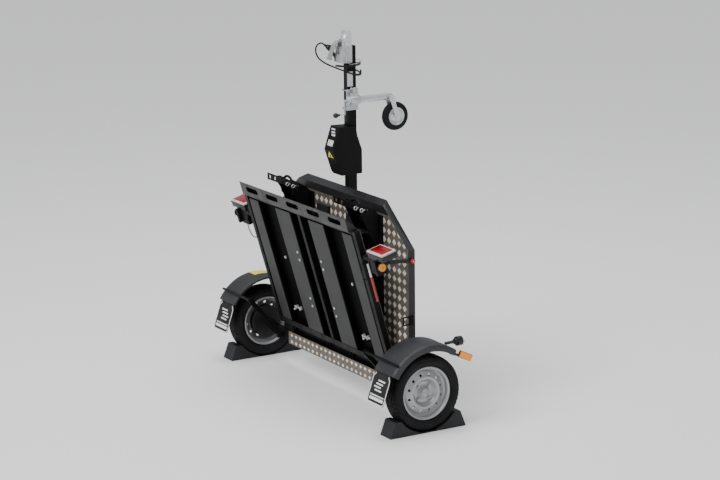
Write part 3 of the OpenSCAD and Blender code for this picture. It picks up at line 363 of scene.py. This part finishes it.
def finish_cad_nodes():
    """Gives every CAD node the material of its slot."""
    for entry in frame["record"]["subparts"]:
        data = NODES[entry["node"]].data
        data.materials.clear()
        data.materials.append(BY_SLOT[entry["material_slot"]])
    for name in ("coupling_head", "jockey_tube", "jockey_fork"):
        NODES[name].data.materials[0] = BRIGHT_ZINC
    NODES["coupling_handle"].data.materials[0] = HANDLE_GREY
    NODES["front_frame"].data.materials[0] = FRAME_EDGE
    NODES["rear_strip"].data.materials[0] = STRIP_COAT
    NODES["lock_strut"].data.materials[0] = STRUT_COAT


finish_cad_nodes()


# ---- Modelling helpers ----

def nothing_selected():
    if bpy.context.object and bpy.context.object.mode != "OBJECT":
        bpy.ops.object.mode_set(mode="OBJECT")
    bpy.ops.object.select_all(action="DESELECT")


REAR_SPACE = Matrix.Translation(HINGE) @ Matrix.Rotation(TILT, 4, "X")


def rear(x, n, u):
    """A point given across the rear half, out of its deck and away from the hinge, in metres."""
    return Vector((x, HINGE.y + n * math.cos(TILT) - u * math.sin(TILT),
                   HINGE.z + n * math.sin(TILT) + u * math.cos(TILT)))


def finished(piece, name, body, material, replaces=(), smooth=30):
    """Fixes a new piece's place in its mesh and hands it to its body."""
    nothing_selected()
    piece.select_set(True)
    bpy.context.view_layer.objects.active = piece
    bpy.ops.object.transform_apply(location=True, rotation=True, scale=True)
    for modifier in list(piece.modifiers):
        bpy.ops.object.modifier_apply(modifier=modifier.name)
    bpy.ops.object.shade_smooth_by_angle(angle=math.radians(smooth))
    piece.name = piece.data.name = name
    if not piece.data.materials:
        piece.data.materials.append(material)
    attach(piece, body)
    if replaces:
        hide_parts(*replaces)
    nothing_selected()
    return piece


def edit_all(piece):
    nothing_selected()
    piece.select_set(True)
    bpy.context.view_layer.objects.active = piece
    bpy.ops.object.mode_set(mode="EDIT")
    bpy.ops.mesh.select_all(action="SELECT")


def pick_faces(piece, wanted):
    """Selects the faces whose centre and normal satisfy wanted, and stays in edit mode."""
    bpy.ops.object.mode_set(mode="EDIT")
    bpy.ops.mesh.select_mode(type="FACE")
    bpy.ops.mesh.select_all(action="DESELECT")
    bpy.ops.object.mode_set(mode="OBJECT")
    count = 0
    for face in piece.data.polygons:
        face.select = bool(wanted(face.center, face.normal))
        count += face.select
    bpy.ops.object.mode_set(mode="EDIT")
    return count


def bevelled(piece, width, segments=2, limit=35):
    modifier = piece.modifiers.new("bevel", "BEVEL")
    modifier.width = width
    modifier.segments = segments
    modifier.limit_method = "ANGLE"
    modifier.angle_limit = math.radians(limit)
    return piece


def block(low, high, bevel=0.001, segments=2):
    """A bevelled block between two corners."""
    nothing_selected()
    low, high = Vector(low), Vector(high)
    bpy.ops.mesh.primitive_cube_add(size=1, location=(low + high) / 2)
    piece = bpy.context.object
    piece.scale = high - low
    bpy.ops.object.transform_apply(location=True, rotation=True, scale=True)
    return bevelled(piece, bevel, segments)


def chain(points, closed=False):
    """A run of edges through the points, extruded from one vertex."""
    nothing_selected()
    bpy.ops.mesh.primitive_plane_add(size=0.01, location=(0, 0, 0))
    piece = bpy.context.object
    edit_all(piece)
    bpy.ops.mesh.select_mode(type="VERT")
    bpy.ops.mesh.select_all(action="SELECT")
    bpy.ops.mesh.merge(type="CENTER")
    bpy.ops.transform.translate(value=points[0])
    for before, after in zip(points, points[1:]):
        bpy.ops.mesh.extrude_vertices_move(TRANSFORM_OT_translate={"value": Vector(after) - Vector(before)})
    if closed:
        bpy.ops.mesh.select_all(action="SELECT")
        bpy.ops.mesh.edge_face_add()
    return piece


def plate(points, thickness, bevel=0.0008):
    """A flat plate: an outline of points, pushed along the thickness vector."""
    piece = chain(points, closed=True)
    bpy.ops.mesh.extrude_region_move(TRANSFORM_OT_translate={"value": thickness})
    bpy.ops.mesh.select_all(action="SELECT")
    bpy.ops.mesh.normals_make_consistent(inside=False)
    bpy.ops.object.mode_set(mode="OBJECT")
    return bevelled(piece, bevel)


def turned(profile, centre, axis=(1, 0, 0), steps=48, closed=True):
    """A turned piece: points of (radius, distance along the axis) spun about the axis."""
    axis = Vector(axis).normalized()
    out = axis.orthogonal().normalized()
    points = [Vector(centre) + out * r + axis * a for r, a in profile]
    if closed:
        points.append(points[0])
    piece = chain(points)
    bpy.ops.mesh.select_all(action="SELECT")
    bpy.ops.mesh.spin(steps=steps, angle=2 * math.pi, center=centre, axis=axis)
    bpy.ops.mesh.select_all(action="SELECT")
    bpy.ops.mesh.remove_doubles(threshold=0.00005)
    bpy.ops.mesh.normals_make_consistent(inside=False)
    bpy.ops.object.mode_set(mode="OBJECT")
    return piece


def joined(pieces):
    """Several pieces with their modifiers applied, made one."""
    for piece in pieces:
        nothing_selected()
        piece.select_set(True)
        bpy.context.view_layer.objects.active = piece
        bpy.ops.object.transform_apply(location=True, rotation=True, scale=True)
        for modifier in list(piece.modifiers):
            bpy.ops.object.modifier_apply(modifier=modifier.name)
    nothing_selected()
    for piece in pieces:
        piece.select_set(True)
    bpy.context.view_layer.objects.active = pieces[0]
    if len(pieces) > 1:
        bpy.ops.object.join()
    return bpy.context.object


def copy_of(piece):
    twin = piece.copy()
    twin.data = piece.data.copy()
    bpy.context.scene.collection.objects.link(twin)
    return twin


def mirrored(piece):
    """A copy on the other side of the trailer."""
    twin = copy_of(piece)
    nothing_selected()
    twin.select_set(True)
    bpy.context.view_layer.objects.active = twin
    for modifier in list(twin.modifiers):
        bpy.ops.object.modifier_apply(modifier=modifier.name)
    bpy.ops.object.transform_apply(location=True, rotation=True, scale=True)
    bpy.ops.object.mode_set(mode="EDIT")
    bpy.ops.mesh.select_all(action="SELECT")
    bpy.ops.transform.mirror(constraint_axis=(True, False, False), center_override=(0, 0, 0))
    bpy.ops.mesh.normals_make_consistent(inside=False)
    bpy.ops.object.mode_set(mode="OBJECT")
    return twin


def both_sides(piece, name, body, material, replaces=(), smooth=30):
    twin = mirrored(joined([piece]))
    finished(piece, name + "_right", body, material, replaces, smooth)
    finished(twin, name + "_left", body, material, replaces, smooth)


# ---- Cords ----

def cord_curve(points, radius, name, material):
    """A round cord along the points, in metres, as one open spline."""
    data = bpy.data.curves.new(name, "CURVE")
    data.dimensions = "3D"
    data.resolution_u = 8
    data.bevel_depth = radius
    data.bevel_resolution = 5
    data.use_fill_caps = True
    spline = data.splines.new("BEZIER")
    spline.bezier_points.add(len(points) - 1)
    for point, place in zip(spline.bezier_points, points):
        point.co = place
        point.handle_left_type = point.handle_right_type = "AUTO"
    piece = bpy.data.objects.new(name, data)
    bpy.context.scene.collection.objects.link(piece)
    data.materials.append(material)
    return piece


def in_metres(points):
    return [Vector(p) * MM for p in points]


MAIN_ROUTE = in_metres([
    (-42, 121, 2215), (-42, 123, 2238), (-43, 134, 2262), (-44, 156, 2282), (-30, 182, 2293),
    (0, 194, 2297), (32, 184, 2297), (54, 156, 2294), (60, 120, 2292), (56, 82, 2291),
    (40, 48, 2290), (12, 28, 2290), (-22, 28, 2288), (-52, 46, 2284), (-68, 78, 2278),
    (-72, 116, 2271), (-64, 154, 2261), (-42, 184, 2248), (-8, 200, 2234), (26, 192, 2224),
    (48, 166, 2222), (54, 132, 2228), (50, 98, 2240), (42, 62, 2256), (32, 24, 2272),
    (20, -16, 2290), (6, -56, 2310), (-8, -92, 2334), (-20, -116, 2362), (-28, -126, 2394),
    (-38, -120, 2424), (-46, -98, 2445), (-50, -70, 2450), (-50, -45, 2435)])
WIRE_ROUTE = in_metres([
    (45, 60, 2345), (56, 60, 2343), (66, 62, 2331), (71, 72, 2314), (72, 92, 2306),
    (70, 128, 2308), (62, 164, 2314), (40, 190, 2318), (8, 200, 2318), (-26, 194, 2318),
    (-54, 170, 2316), (-64, 136, 2314), (-68, 104, 2312), (-70, 76, 2316), (-66, 62, 2331),
    (-56, 60, 2343), (-45, 60, 2345)])
LAMP_ROUTE = [
    (854, -20, 892), (840, -21, 892), (822, -30, 886), (808, -46, 868), (799, -64, 840),
    (795, -76, 804), (791, -80, 768), (782, -80, 736), (769, -77, 710), (757, -70, 698),
    (751, -60, 694), (751, -50, 694)]
PLUG_TIP = Vector((-0.050, 0.008, 2.403))


def make_plug():
    """Round plug with a finger grip, a collar and a ribbed boot."""
    axis = (MAIN_ROUTE[-1] - PLUG_TIP).normalized()
    end = (MAIN_ROUTE[-1] - PLUG_TIP).length
    profile = [(0, 0), (0.0155, 0), (0.017, 0.0015), (0.017, 0.017), (0.0198, 0.018), (0.0198, 0.026),
               (0.017, 0.027), (0.0165, 0.040), (0.0135, 0.042), (0.0095, 0.044)]
    for k in range(4):
        at = 0.046 + k * 0.004
        profile += [(0.009, at), (0.009, at + 0.0022), (0.0078, at + 0.0026), (0.0078, at + 0.0036)]
    profile += [(0.007, end - 0.001), (0, end - 0.001)]
    plug = turned(profile, PLUG_TIP, axis, 40, closed=False)
    return finished(plug, "plug_body", "front_half", BLACK_PLASTIC, ["plug"])


def make_cords():
    plug = make_plug()
    sheath = cord_curve(MAIN_ROUTE, 0.0055, "main_cable_sheath", CABLE)
    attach(sheath, "front_half")
    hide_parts("main_cable")
    wire = cord_curve(WIRE_ROUTE, 0.002, "breakaway_wire_rope", WIRE_STEEL)
    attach(wire, "front_half")
    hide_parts("breakaway_wire")
    for side, name in ((1, "lamp_lead_right"), (-1, "lamp_lead_left")):
        route = [rear(side * x * MM, n * MM, u * MM) for x, n, u in LAMP_ROUTE]
        lead = cord_curve(route, 0.0035, name, CABLE)
        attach(lead, "rear_half")
        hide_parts("lamp_cables")


make_cords()


# ---- Tread plate ----

def stud_field(x_span, z_span, pitch, first, size, height, edges, skip=None):
    """Raised rhombic studs on the plane y = 0, pointing towards -Y, cut off at the plate's edges."""
    nothing_selected()
    bpy.ops.mesh.primitive_cone_add(vertices=4, radius1=1, radius2=0.7, depth=1, location=(0, 0, 0.5))
    stud = bpy.context.object
    pick_faces(stud, lambda c, n: n.z > 0.9)
    bpy.ops.mesh.inset(thickness=0.28, depth=-0.22)
    bpy.ops.object.mode_set(mode="OBJECT")
    stud.scale = (size[0] / 2, size[1] / 2, height)
    stud.rotation_euler = (math.radians(90), 0, 0)
    across = math.ceil((x_span[1] - x_span[0]) / pitch[0])
    up = math.ceil((z_span[1] - z_span[0]) / pitch[1])
    stud.location = (first[0], 0, first[1])
    bpy.ops.object.transform_apply(location=True, rotation=True, scale=True)
    for count, offset in ((across, (pitch[0], 0, 0)), (up, (0, 0, pitch[1]))):
        rows = stud.modifiers.new("rows", "ARRAY")
        rows.count = count
        rows.use_relative_offset = False
        rows.use_constant_offset = True
        rows.constant_offset_displace = offset
        bpy.ops.object.modifier_apply(modifier=rows.name)
    if skip:
        def hidden(c, n):
            column = first[0] + pitch[0] * round((c.x - first[0]) / pitch[0])
            row = first[1] + pitch[1] * round((c.z - first[1]) / pitch[1])
            return skip(column, row)
        pick_faces(stud, hidden)
        bpy.ops.mesh.delete(type="FACE")
    for point, outwards in edges:
        bpy.ops.object.mode_set(mode="EDIT")
        bpy.ops.mesh.select_all(action="SELECT")
        bpy.ops.mesh.bisect(plane_co=point, plane_no=outwards, clear_outer=True, use_fill=True)
    bpy.ops.mesh.select_all(action="SELECT")
    bpy.ops.mesh.normals_make_consistent(inside=False)
    bpy.ops.object.mode_set(mode="OBJECT")
    return stud


STUD_PITCH = (0.0643, 0.0613)
STUD_SIZE = (0.057, 0.054)
STUD_HEIGHT = 0.0016
LANE = 0.464
TRACK_CLEAR = 0.098
REAR_PLATE = -0.005
DECK_U = (0.054, 1.042)


def make_tread_studs():
    low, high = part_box("front_deck")
    edges = [((high.x - 0.003, 0, 0), (1, 0, 0)), ((low.x + 0.003, 0, 0), (-1, 0, 0)),
             ((0, 0, high.z - 0.003), (0, 0, 1)), ((0, 0, low.z + 0.003), (0, 0, -1))]
    for side in (-1, 1):
        edges.append(((side * 0.885, 0, 1.1715), (side * 0.2765, 0, 0.3545)))
    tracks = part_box("front_tracks")

    def under_track(x, z):
        return abs(abs(x) - LANE) < TRACK_CLEAR and tracks[0].z + 0.02 < z < tracks[1].z - 0.02

    front = stud_field((low.x, high.x), (low.z, high.z), STUD_PITCH, (-0.8917, 0.4005), STUD_SIZE,
                       STUD_HEIGHT, edges, under_track)
    front.location.y = low.y
    finished(front, "front_plate_studs", "front_half", PLATE_TOP)

    low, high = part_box("axle_apron")
    edges = [((high.x - 0.002, 0, 0), (1, 0, 0)), ((low.x + 0.002, 0, 0), (-1, 0, 0))]
    apron = stud_field((low.x, high.x), (0.190, 0.270), (0.0604, 0.048), (-0.6945, 0.201),
                       (0.040, 0.030), STUD_HEIGHT, edges)
    apron.location.y = low.y
    finished(apron, "apron_studs", "axle_frame", PLATE_TOP)

    edges = [((0.767, 0, 0), (1, 0, 0)), ((-0.767, 0, 0), (-1, 0, 0)),
             ((0, 0, DECK_U[1] - 0.003), (0, 0, 1)), ((0, 0, DECK_U[0] + 0.003), (0, 0, -1))]

    def under_rear_track(x, z):
        return abs(abs(x) - LANE) < TRACK_CLEAR and z > 0.26

    back = stud_field((-0.8, 0.8), DECK_U, STUD_PITCH, (-0.7716, 0.075), STUD_SIZE, STUD_HEIGHT,
                      edges, under_rear_track)
    nothing_selected()
    back.select_set(True)
    bpy.context.view_layer.objects.active = back
    back.rotation_euler = (0, 0, math.pi)
    bpy.ops.object.transform_apply(location=True, rotation=True, scale=True)
    back.matrix_world = REAR_SPACE @ Matrix.Translation((0, REAR_PLATE, 0))
    finished(back, "rear_plate_studs", "rear_half", PLATE_TOP)


make_tread_studs()


# ---- Wheels ----

def tyre_profile():
    """Radius and distance from the tyre's middle, round its section."""
    half = [(0.1685, 0.044), (0.1775, 0.047), (0.1835, 0.053), (0.1895, 0.061), (0.197, 0.067),
            (0.2045, 0.0705), (0.214, 0.0723), (0.2155, 0.073), (0.2175, 0.073), (0.219, 0.0723),
            (0.233, 0.0705), (0.2385, 0.0688), (0.2395, 0.0692), (0.241, 0.0682), (0.248, 0.063),
            (0.2535, 0.0565), (0.257, 0.0485), (0.2583, 0.0395), (0.2513, 0.0390), (0.2513, 0.0330),
            (0.2592, 0.0325), (0.2598, 0.0160), (0.2525, 0.0155), (0.2525, 0.0095), (0.26, 0.009)]
    inner = [(0.1685, 0.032), (0.230, 0.047), (0.248, 0.0), (0.230, -0.047), (0.1685, -0.032)]
    return [(r, -a) for r, a in half] + list(reversed(half)) + inner


def make_tyres():
    steps = 150
    tyre = turned(tyre_profile(), HUB, (1, 0, 0), steps)

    def shoulder_block(c, n):
        away = abs(c.x - HUB.x)
        radius = math.hypot(c.y - HUB.y, c.z - HUB.z)
        turn = math.atan2(c.z - HUB.z, c.y - HUB.y) / (2 * math.pi) * steps
        return 0.0485 < away < 0.066 and radius > 0.243 and math.floor(turn) % 3 == 0

    pick_faces(tyre, shoulder_block)
    bpy.ops.mesh.inset(thickness=0.0006, depth=-0.0035)
    bpy.ops.mesh.select_all(action="DESELECT")
    bpy.ops.object.mode_set(mode="OBJECT")

    def rib_block(c, n):
        away = abs(c.x - HUB.x)
        radius = math.hypot(c.y - HUB.y, c.z - HUB.z)
        turn = math.atan2(c.z - HUB.z, c.y - HUB.y) / (2 * math.pi) * steps
        return 0.017 < away < 0.0325 and radius > 0.2585 and math.floor(turn) % 5 == 0

    pick_faces(tyre, rib_block)
    bpy.ops.mesh.inset(thickness=0.002, depth=-0.003)
    bpy.ops.object.mode_set(mode="OBJECT")
    twin = mirrored(tyre)
    finished(tyre, "tyre_right_tread", "wheel_right", TYRE, ["tyre_right"], 35)
    finished(twin, "tyre_left_tread", "wheel_left", TYRE, ["tyre_left"], 35)


def make_jockey_wheel():
    """Solid rubber tyre on a pressed zinc disc."""
    tyre = turned([(0.0615, -0.020), (0.064, -0.0235), (0.080, -0.0248), (0.0885, -0.0225), (0.0955, -0.017),
                   (0.0985, -0.010), (0.0998, 0.0), (0.0985, 0.010), (0.0955, 0.017), (0.0885, 0.0225),
                   (0.080, 0.0248), (0.064, 0.0235), (0.0615, 0.020)], JOCKEY, (1, 0, 0), 96)
    finished(tyre, "jockey_tyre", "jockey_wheel", TYRE, ["jockey_wheel"], 40)
    disc = turned([(0.0062, -0.0295), (0.0125, -0.0295), (0.0145, -0.028), (0.016, -0.012), (0.022, -0.0085),
                   (0.040, -0.0075), (0.047, -0.010), (0.054, -0.019), (0.0595, -0.0225), (0.0618, -0.0235),
                   (0.0618, 0.0235), (0.0595, 0.0225), (0.054, 0.019), (0.047, 0.010), (0.040, 0.0075),
                   (0.022, 0.0085), (0.016, 0.012), (0.0145, 0.028), (0.0125, 0.0295), (0.0062, 0.0295)],
                  JOCKEY, (1, 0, 0), 96)
    finished(disc, "jockey_disc", "jockey_wheel", BRIGHT_ZINC, ["jockey_wheel"], 40)


def make_crank():
    """Spindle, bent wire arm and round grip of the jockey crank."""
    top = Vector(JOINTS["jockey_crank_turn"]["pos_m"])
    x, z = top.x, top.z
    spindle = turned([(0, 0.040), (0.0058, 0.040), (0.007, 0.0415), (0.007, 0.061), (0.014, 0.0615),
                      (0.014, 0.069), (0.007, 0.0695), (0.007, 0.116), (0, 0.116)], (x, 0, z), (0, 1, 0), 32,
                     closed=False)
    arm = turned([(0, -0.094), (0.0038, -0.094), (0.0038, 0.008), (0, 0.008)], (x, 0.046, z), (0, 0, 1), 20,
                 closed=False)
    grip_at = (x, 0, z - 0.092)
    rod = turned([(0, -0.010), (0.0036, -0.010), (0.0036, 0.049), (0, 0.049)], grip_at, (0, 1, 0), 20,
                 closed=False)
    finished(joined([spindle, arm, rod]), "crank_arm", "jockey_crank", ZINC, ["jockey_crank"])
    grip = turned([(0, -0.045), (0.008, -0.0445), (0.0135, -0.041), (0.0168, -0.034), (0.0172, -0.026),
                   (0.0158, -0.018), (0.0118, -0.012), (0.0085, -0.009), (0.0082, 0.004), (0.0072, 0.0055),
                   (0, 0.0055)], grip_at, (0, 1, 0), 36, closed=False)
    finished(grip, "crank_grip", "jockey_crank", BLACK_PLASTIC, (), 50)


make_tyres()
make_jockey_wheel()
make_crank()


# ---- Soft edges on the metal and plastic nodes ----

def soften_nodes():
    """Bevels the hard edges of the CAD nodes so that they catch the light."""
    fine = {"eye_bolts", "deck_bolts", "hinge_pins", "coupling_head", "coupling_handle", "jockey_crank",
            "jockey_clamp", "clamp_screw", "jockey_fork", "jockey_stem", "jockey_swivel", "winch_cover",
            "front_lamp_bodies", "front_lamp_lenses", "amber_reflectors", "plug_holder", "cable_gland",
            "front_deck", "rear_deck", "axle_apron", "rim_left", "rim_right", "hub_left", "hub_right"}
    skipped = {"tyre_left", "tyre_right", "mudflaps", "jockey_wheel", "plug", "main_cable",
               "breakaway_wire", "lamp_cables", "rear_lamps"}
    for name, part in NODES.items():
        if name in skipped:
            continue
        weld = part.modifiers.new("weld", "WELD")
        weld.merge_threshold = 0.00003
        bevelled(part, 0.0007 if name in fine else 0.0018, 2, 40)
        part.modifiers["bevel"].harden_normals = False
        part.modifiers["bevel"].use_clamp_overlap = True


soften_nodes()


# ---- Mudflaps ----

FLAP_MID = 1.09
FLAP_TOP = (-0.291, 0.433)
FLAP_UP = Vector((0, 0.3256, 0.9455))
FLAP_OUT = Vector((0, -0.9455, 0.3256))


def on_flap(x, v, out):
    """A point across the right mudflap, up from its top fixing, and out of its rear face."""
    return Vector((FLAP_MID + x, FLAP_TOP[0], FLAP_TOP[1])) + FLAP_UP * v + FLAP_OUT * out


def corners_of(x_span, v_span):
    """The four corners of a rectangle, in order round it."""
    return [(x_span[0], v_span[0]), (x_span[1], v_span[0]), (x_span[1], v_span[1]), (x_span[0], v_span[1])]


def flap_bar(x_span, v_span, height=0.0012):
    corners = [on_flap(x, v, 0.002) for x, v in corners_of(x_span, v_span)]
    return plate(corners, FLAP_OUT * height, 0.0004)


def make_mudflaps():
    """Moulded rubber flaps with a raised white frame and plain bars."""
    outline = [(-0.082, 0.010), (0.082, 0.010), (0.104, -0.020), (0.104, -0.198), (0.090, -0.212),
               (-0.090, -0.212), (-0.104, -0.198), (-0.104, -0.020)]
    flap = plate([on_flap(x, v, -0.002) for x, v in outline], FLAP_OUT * 0.004, 0.0012)
    ribs = [flap_bar((-0.07 + k * 0.02, -0.062 + k * 0.02), (-0.012, -0.004), 0.001) for k in range(7)]
    flap = joined([flap] + ribs)
    border = [(-0.076, -0.010), (-0.100, -0.038), (-0.100, -0.194), (-0.086, -0.208), (0.086, -0.208),
              (0.100, -0.194), (0.100, -0.038), (0.076, -0.010)]
    marks = []
    for (x0, v0), (x1, v1) in zip(border, border[1:]):
        run = Vector((x1 - x0, v1 - v0)).normalized()
        across = Vector((-run.y, run.x)) * 0.0035
        corners = [Vector((x0, v0)) - across, Vector((x1, v1)) - across, Vector((x1, v1)) + across,
                   Vector((x0, v0)) + across]
        marks.append(plate([on_flap(c.x, c.y, 0.002) for c in corners], FLAP_OUT * 0.0012, 0.0003))
    marks += [flap_bar((-0.030, 0.052), (-0.060, -0.050)), flap_bar((-0.046, 0.036), (-0.082, -0.072)),
              flap_bar((-0.062, 0.020), (-0.104, -0.094)), flap_bar((-0.046, 0.036), (-0.126, -0.116)),
              flap_bar((-0.082, 0.082), (-0.160, -0.152)), flap_bar((-0.082, 0.082), (-0.188, -0.168))]
    marks = joined(marks)
    both_sides(flap, "mudflap", "axle_frame", FLAP, ["mudflaps"])
    both_sides(marks, "mudflap_marks", "axle_frame", WHITE_FILM)


make_mudflaps()


# ---- Lamps and reflectors ----

def rear_block(low, high, bevel=0.001, segments=2):
    """A bevelled block in the rear half's own directions, in metres."""
    piece = block(low, high, bevel, segments)
    nothing_selected()
    piece.matrix_world = REAR_SPACE
    return piece


def rear_turned(profile, centre, axis, steps=40):
    """A turned piece given in the rear half's directions."""
    axis = Matrix.Rotation(TILT, 3, "X") @ Vector(axis)
    return turned(profile, rear(*centre), axis, steps, closed=False)


def make_rear_lamps():
    base = rear_block((0.8535, -0.0415, 0.872), (1.0465, 0.0715, 0.905), 0.004, 3)
    both_sides(base, "rear_lamp_body", "rear_half", BLACK_PLASTIC, ["rear_lamps"])
    rim = rear_block((0.850, -0.045, 0.9035), (1.050, 0.075, 0.913), 0.002, 2)
    both_sides(rim, "rear_lamp_rim", "rear_half", BLACK_PLASTIC)
    clear = rear_block((0.8525, -0.0425, 0.911), (1.0475, 0.0725, 0.9265), 0.006, 4)
    both_sides(clear, "rear_lamp_lens", "rear_half", PINK_LENS)
    red = rear_block((0.8665, -0.0285, 0.920), (1.0335, 0.0585, 0.9285), 0.002, 2)
    both_sides(red, "rear_lamp_red_window", "rear_half", RED_LENS)
    screws = [rear_turned([(0, 0), (0.0032, 0), (0.0032, 0.0012), (0, 0.0022)], (x, n, 0.9262), (0, 0, 1), 16)
              for x, n in ((0.8595, -0.0355), (1.0405, 0.0655))]
    both_sides(joined(screws), "rear_lamp_screws", "rear_half", BRIGHT_ZINC)


def make_side_reflectors():
    rings = rear_turned([(0.0255, 0), (0.0255, 0.0018), (0.020, 0.0020), (0.020, 0.0008), (0.0, 0.0008)],
                        (1.0079, -0.035, 0.831), (1, 0, 0), 48)
    both_sides(rings, "side_reflector_ring", "rear_half", AMBER)
    cup = rear_turned([(0, -0.0002), (0.0296, -0.0002), (0.0296, 0.0085), (0.0262, 0.0085), (0, 0.0085)],
                      (0.9916, -0.035, 0.831), (1, 0, 0), 48)
    both_sides(cup, "side_reflector_cup", "rear_half", BLACK_PLASTIC)
    pin = rear_turned([(0, 0), (0.0042, 0), (0.0042, 0.0008), (0, 0.0018)],
                      (1.0085, -0.035, 0.831), (1, 0, 0), 20)
    both_sides(pin, "side_reflector_pin", "rear_half", HUB_STEEL)


def make_strut_caps():
    """Red turned caps over the strut's pivots."""
    cap = turned([(0.0, 0.018), (0.0125, 0.018), (0.0145, 0.016), (0.0145, 0.0005), (0.0, 0.0005)],
                 (0.902, 0.054, 1.104), (1, 0, 0), 40, closed=False)
    finished(cap, "strut_cap_red", "lock_strut", RED_PAINT)
    rivet = turned([(0.0, 0.0195), (0.003, 0.0192), (0.0042, 0.0178), (0.0, 0.0178)],
                   (0.902, 0.054, 1.104), (1, 0, 0), 20, closed=False)
    finished(rivet, "strut_cap_rivet", "lock_strut", BRIGHT_ZINC)


make_rear_lamps()
make_side_reflectors()
make_strut_caps()


# ---- Film strips, patches and blank labels ----

FILM = 0.0006
ON_TOP = 0.0009


def patch_on_rail(u_span, n_span, name, material):
    """A thin film on the rear rail's outer face, both sides."""
    film = rear_block((0.7700, n_span[0], u_span[0]), (0.7706, n_span[1], u_span[1]), 0.0002, 1)
    both_sides(film, name, "rear_half", material)


def crown_film(x_span, angles, name, material):
    """A film lying on the fender's round top: turned about the hub between two angles."""
    start = Vector((0, math.cos(angles[0]), math.sin(angles[0])))
    centre = Vector(((x_span[0] + x_span[1]) / 2, 0, HUB.z))
    ring = []
    for x, r in ((x_span[0], 0.3441), (x_span[1], 0.3441), (x_span[1], 0.3447), (x_span[0], 0.3447)):
        ring.append(Vector((x, 0, HUB.z)) + start * r)
    piece = chain(ring, closed=True)
    bpy.ops.mesh.select_all(action="SELECT")
    bpy.ops.mesh.spin(steps=16, angle=angles[1] - angles[0], center=centre, axis=(1, 0, 0))
    bpy.ops.mesh.select_all(action="SELECT")
    bpy.ops.mesh.normals_make_consistent(inside=False)
    bpy.ops.object.mode_set(mode="OBJECT")
    return finished(piece, name, "axle_frame", material)


for strip_name, span, film in (("rail_film_white", (0.700, 0.800), WHITE_FILM),
                               ("rail_film_red", (0.520, 0.699), RED_FILM)):
    patch_on_rail(span, (-0.025, -0.011), strip_name, film)
crown_film((-1.205, -1.108), (math.radians(99), math.radians(126)), "fender_patch_yellow", YELLOW_FILM)


def blank_label(low, high, name, body, material):
    return finished(block(low, high, 0.0002, 1), name, body, material)


blank_label((0.0250, 0.0855, 2.145), (0.0256, 0.1295, 2.248), "drawbar_label", "front_half", SILVER_FILM)


def cover_label(x_span, ends, along, name, material, shape=None):
    """A blank film on one of the winch cover's slanted faces, between two fractions of its length."""
    (y0, z0), (y1, z1) = ends
    foot, head = Vector((0, y0, z0)), Vector((0, y1, z1))
    run = (head - foot).normalized()
    out = Vector((0, -run.z, run.y)) if run.z > 0 else Vector((0, run.z, -run.y))
    if out.y > 0:
        out = -out
    corners = []
    for x, t in shape or corners_of(x_span, along):
        corners.append(foot.lerp(head, t) + Vector((x, 0, 0)) + out * 0.0001)
    thick = ON_TOP if material in (BLACK_FILM, WARM_FILM) else FILM
    return finished(plate(corners, out * thick, 0.0002), name, "front_half", material)


UPPER = ((-0.054, 1.716), (0.0, 1.876))
LOWER = ((0.0, 1.556), (-0.054, 1.716))
for k, span in enumerate(((0.84, 0.90), (0.72, 0.78), (0.60, 0.68))):
    cover_label((-0.036 + 0.01 * k, 0.012 + 0.01 * k), UPPER, span, "cover_label_bar_%d" % (k + 1),
                SILVER_FILM)
cover_label((-0.036, 0.034), UPPER, (0.18, 0.42), "cover_label_middle", SILVER_FILM)
cover_label((-0.008, 0.030), UPPER, (0.22, 0.38), "cover_label_patch", WARM_FILM)
cover_label(None, LOWER, None, "cover_sign_triangle", YELLOW_FILM,
            ((-0.036, 0.66), (0.036, 0.66), (0.0, 0.95)))
cover_label(None, LOWER, None, "cover_sign_inner", BLACK_FILM, ((-0.012, 0.71), (0.012, 0.71), (0.0, 0.82)))


# ---- Floor and light ----

def add_lamp(data, place, towards):
    lamp = bpy.data.objects.new(data.name, data)
    bpy.context.scene.collection.objects.link(lamp)
    lamp.location = place
    lamp.rotation_euler = towards.to_track_quat("-Z", "Y").to_euler()


def make_stage():
    nothing_selected()
    bpy.ops.mesh.primitive_plane_add(size=60, location=(0, 0, -0.0005))
    floor = bpy.context.object
    floor.name = "floor"
    pale, shader = new_material("pale_floor", (0.86, 0.86, 0.86), 0.7)
    floor.data.materials.append(pale)
    world = bpy.data.worlds.new("studio")
    bpy.context.scene.world = world
    world.use_nodes = True
    background = world.node_tree.nodes["Background"]
    background.inputs["Color"].default_value = (0.95, 0.97, 1.0, 1)
    background.inputs["Strength"].default_value = 0.42
    for name, place, target, size, power in (
            ("key", (2.0, -8.5, 8.0), (0, 0, 1.2), 4.5, 420),
            ("top", (-0.5, 0.5, 9.0), (0, 0, 0.8), 6.0, 420),
            ("side", (9.5, 1.0, 3.5), (0, 0, 1.2), 4.0, 90)):
        data = bpy.data.lights.new(name, "AREA")
        data.shape = "DISK"
        data.size = size
        data.energy = power
        add_lamp(data, place, Vector(target) - Vector(place))
    data = bpy.data.lights.new("wide", "SUN")
    data.energy = 2.1
    data.angle = math.radians(40)
    add_lamp(data, (0, 0, 0), Vector((-0.1, 0.62, -0.78)))


make_stage()
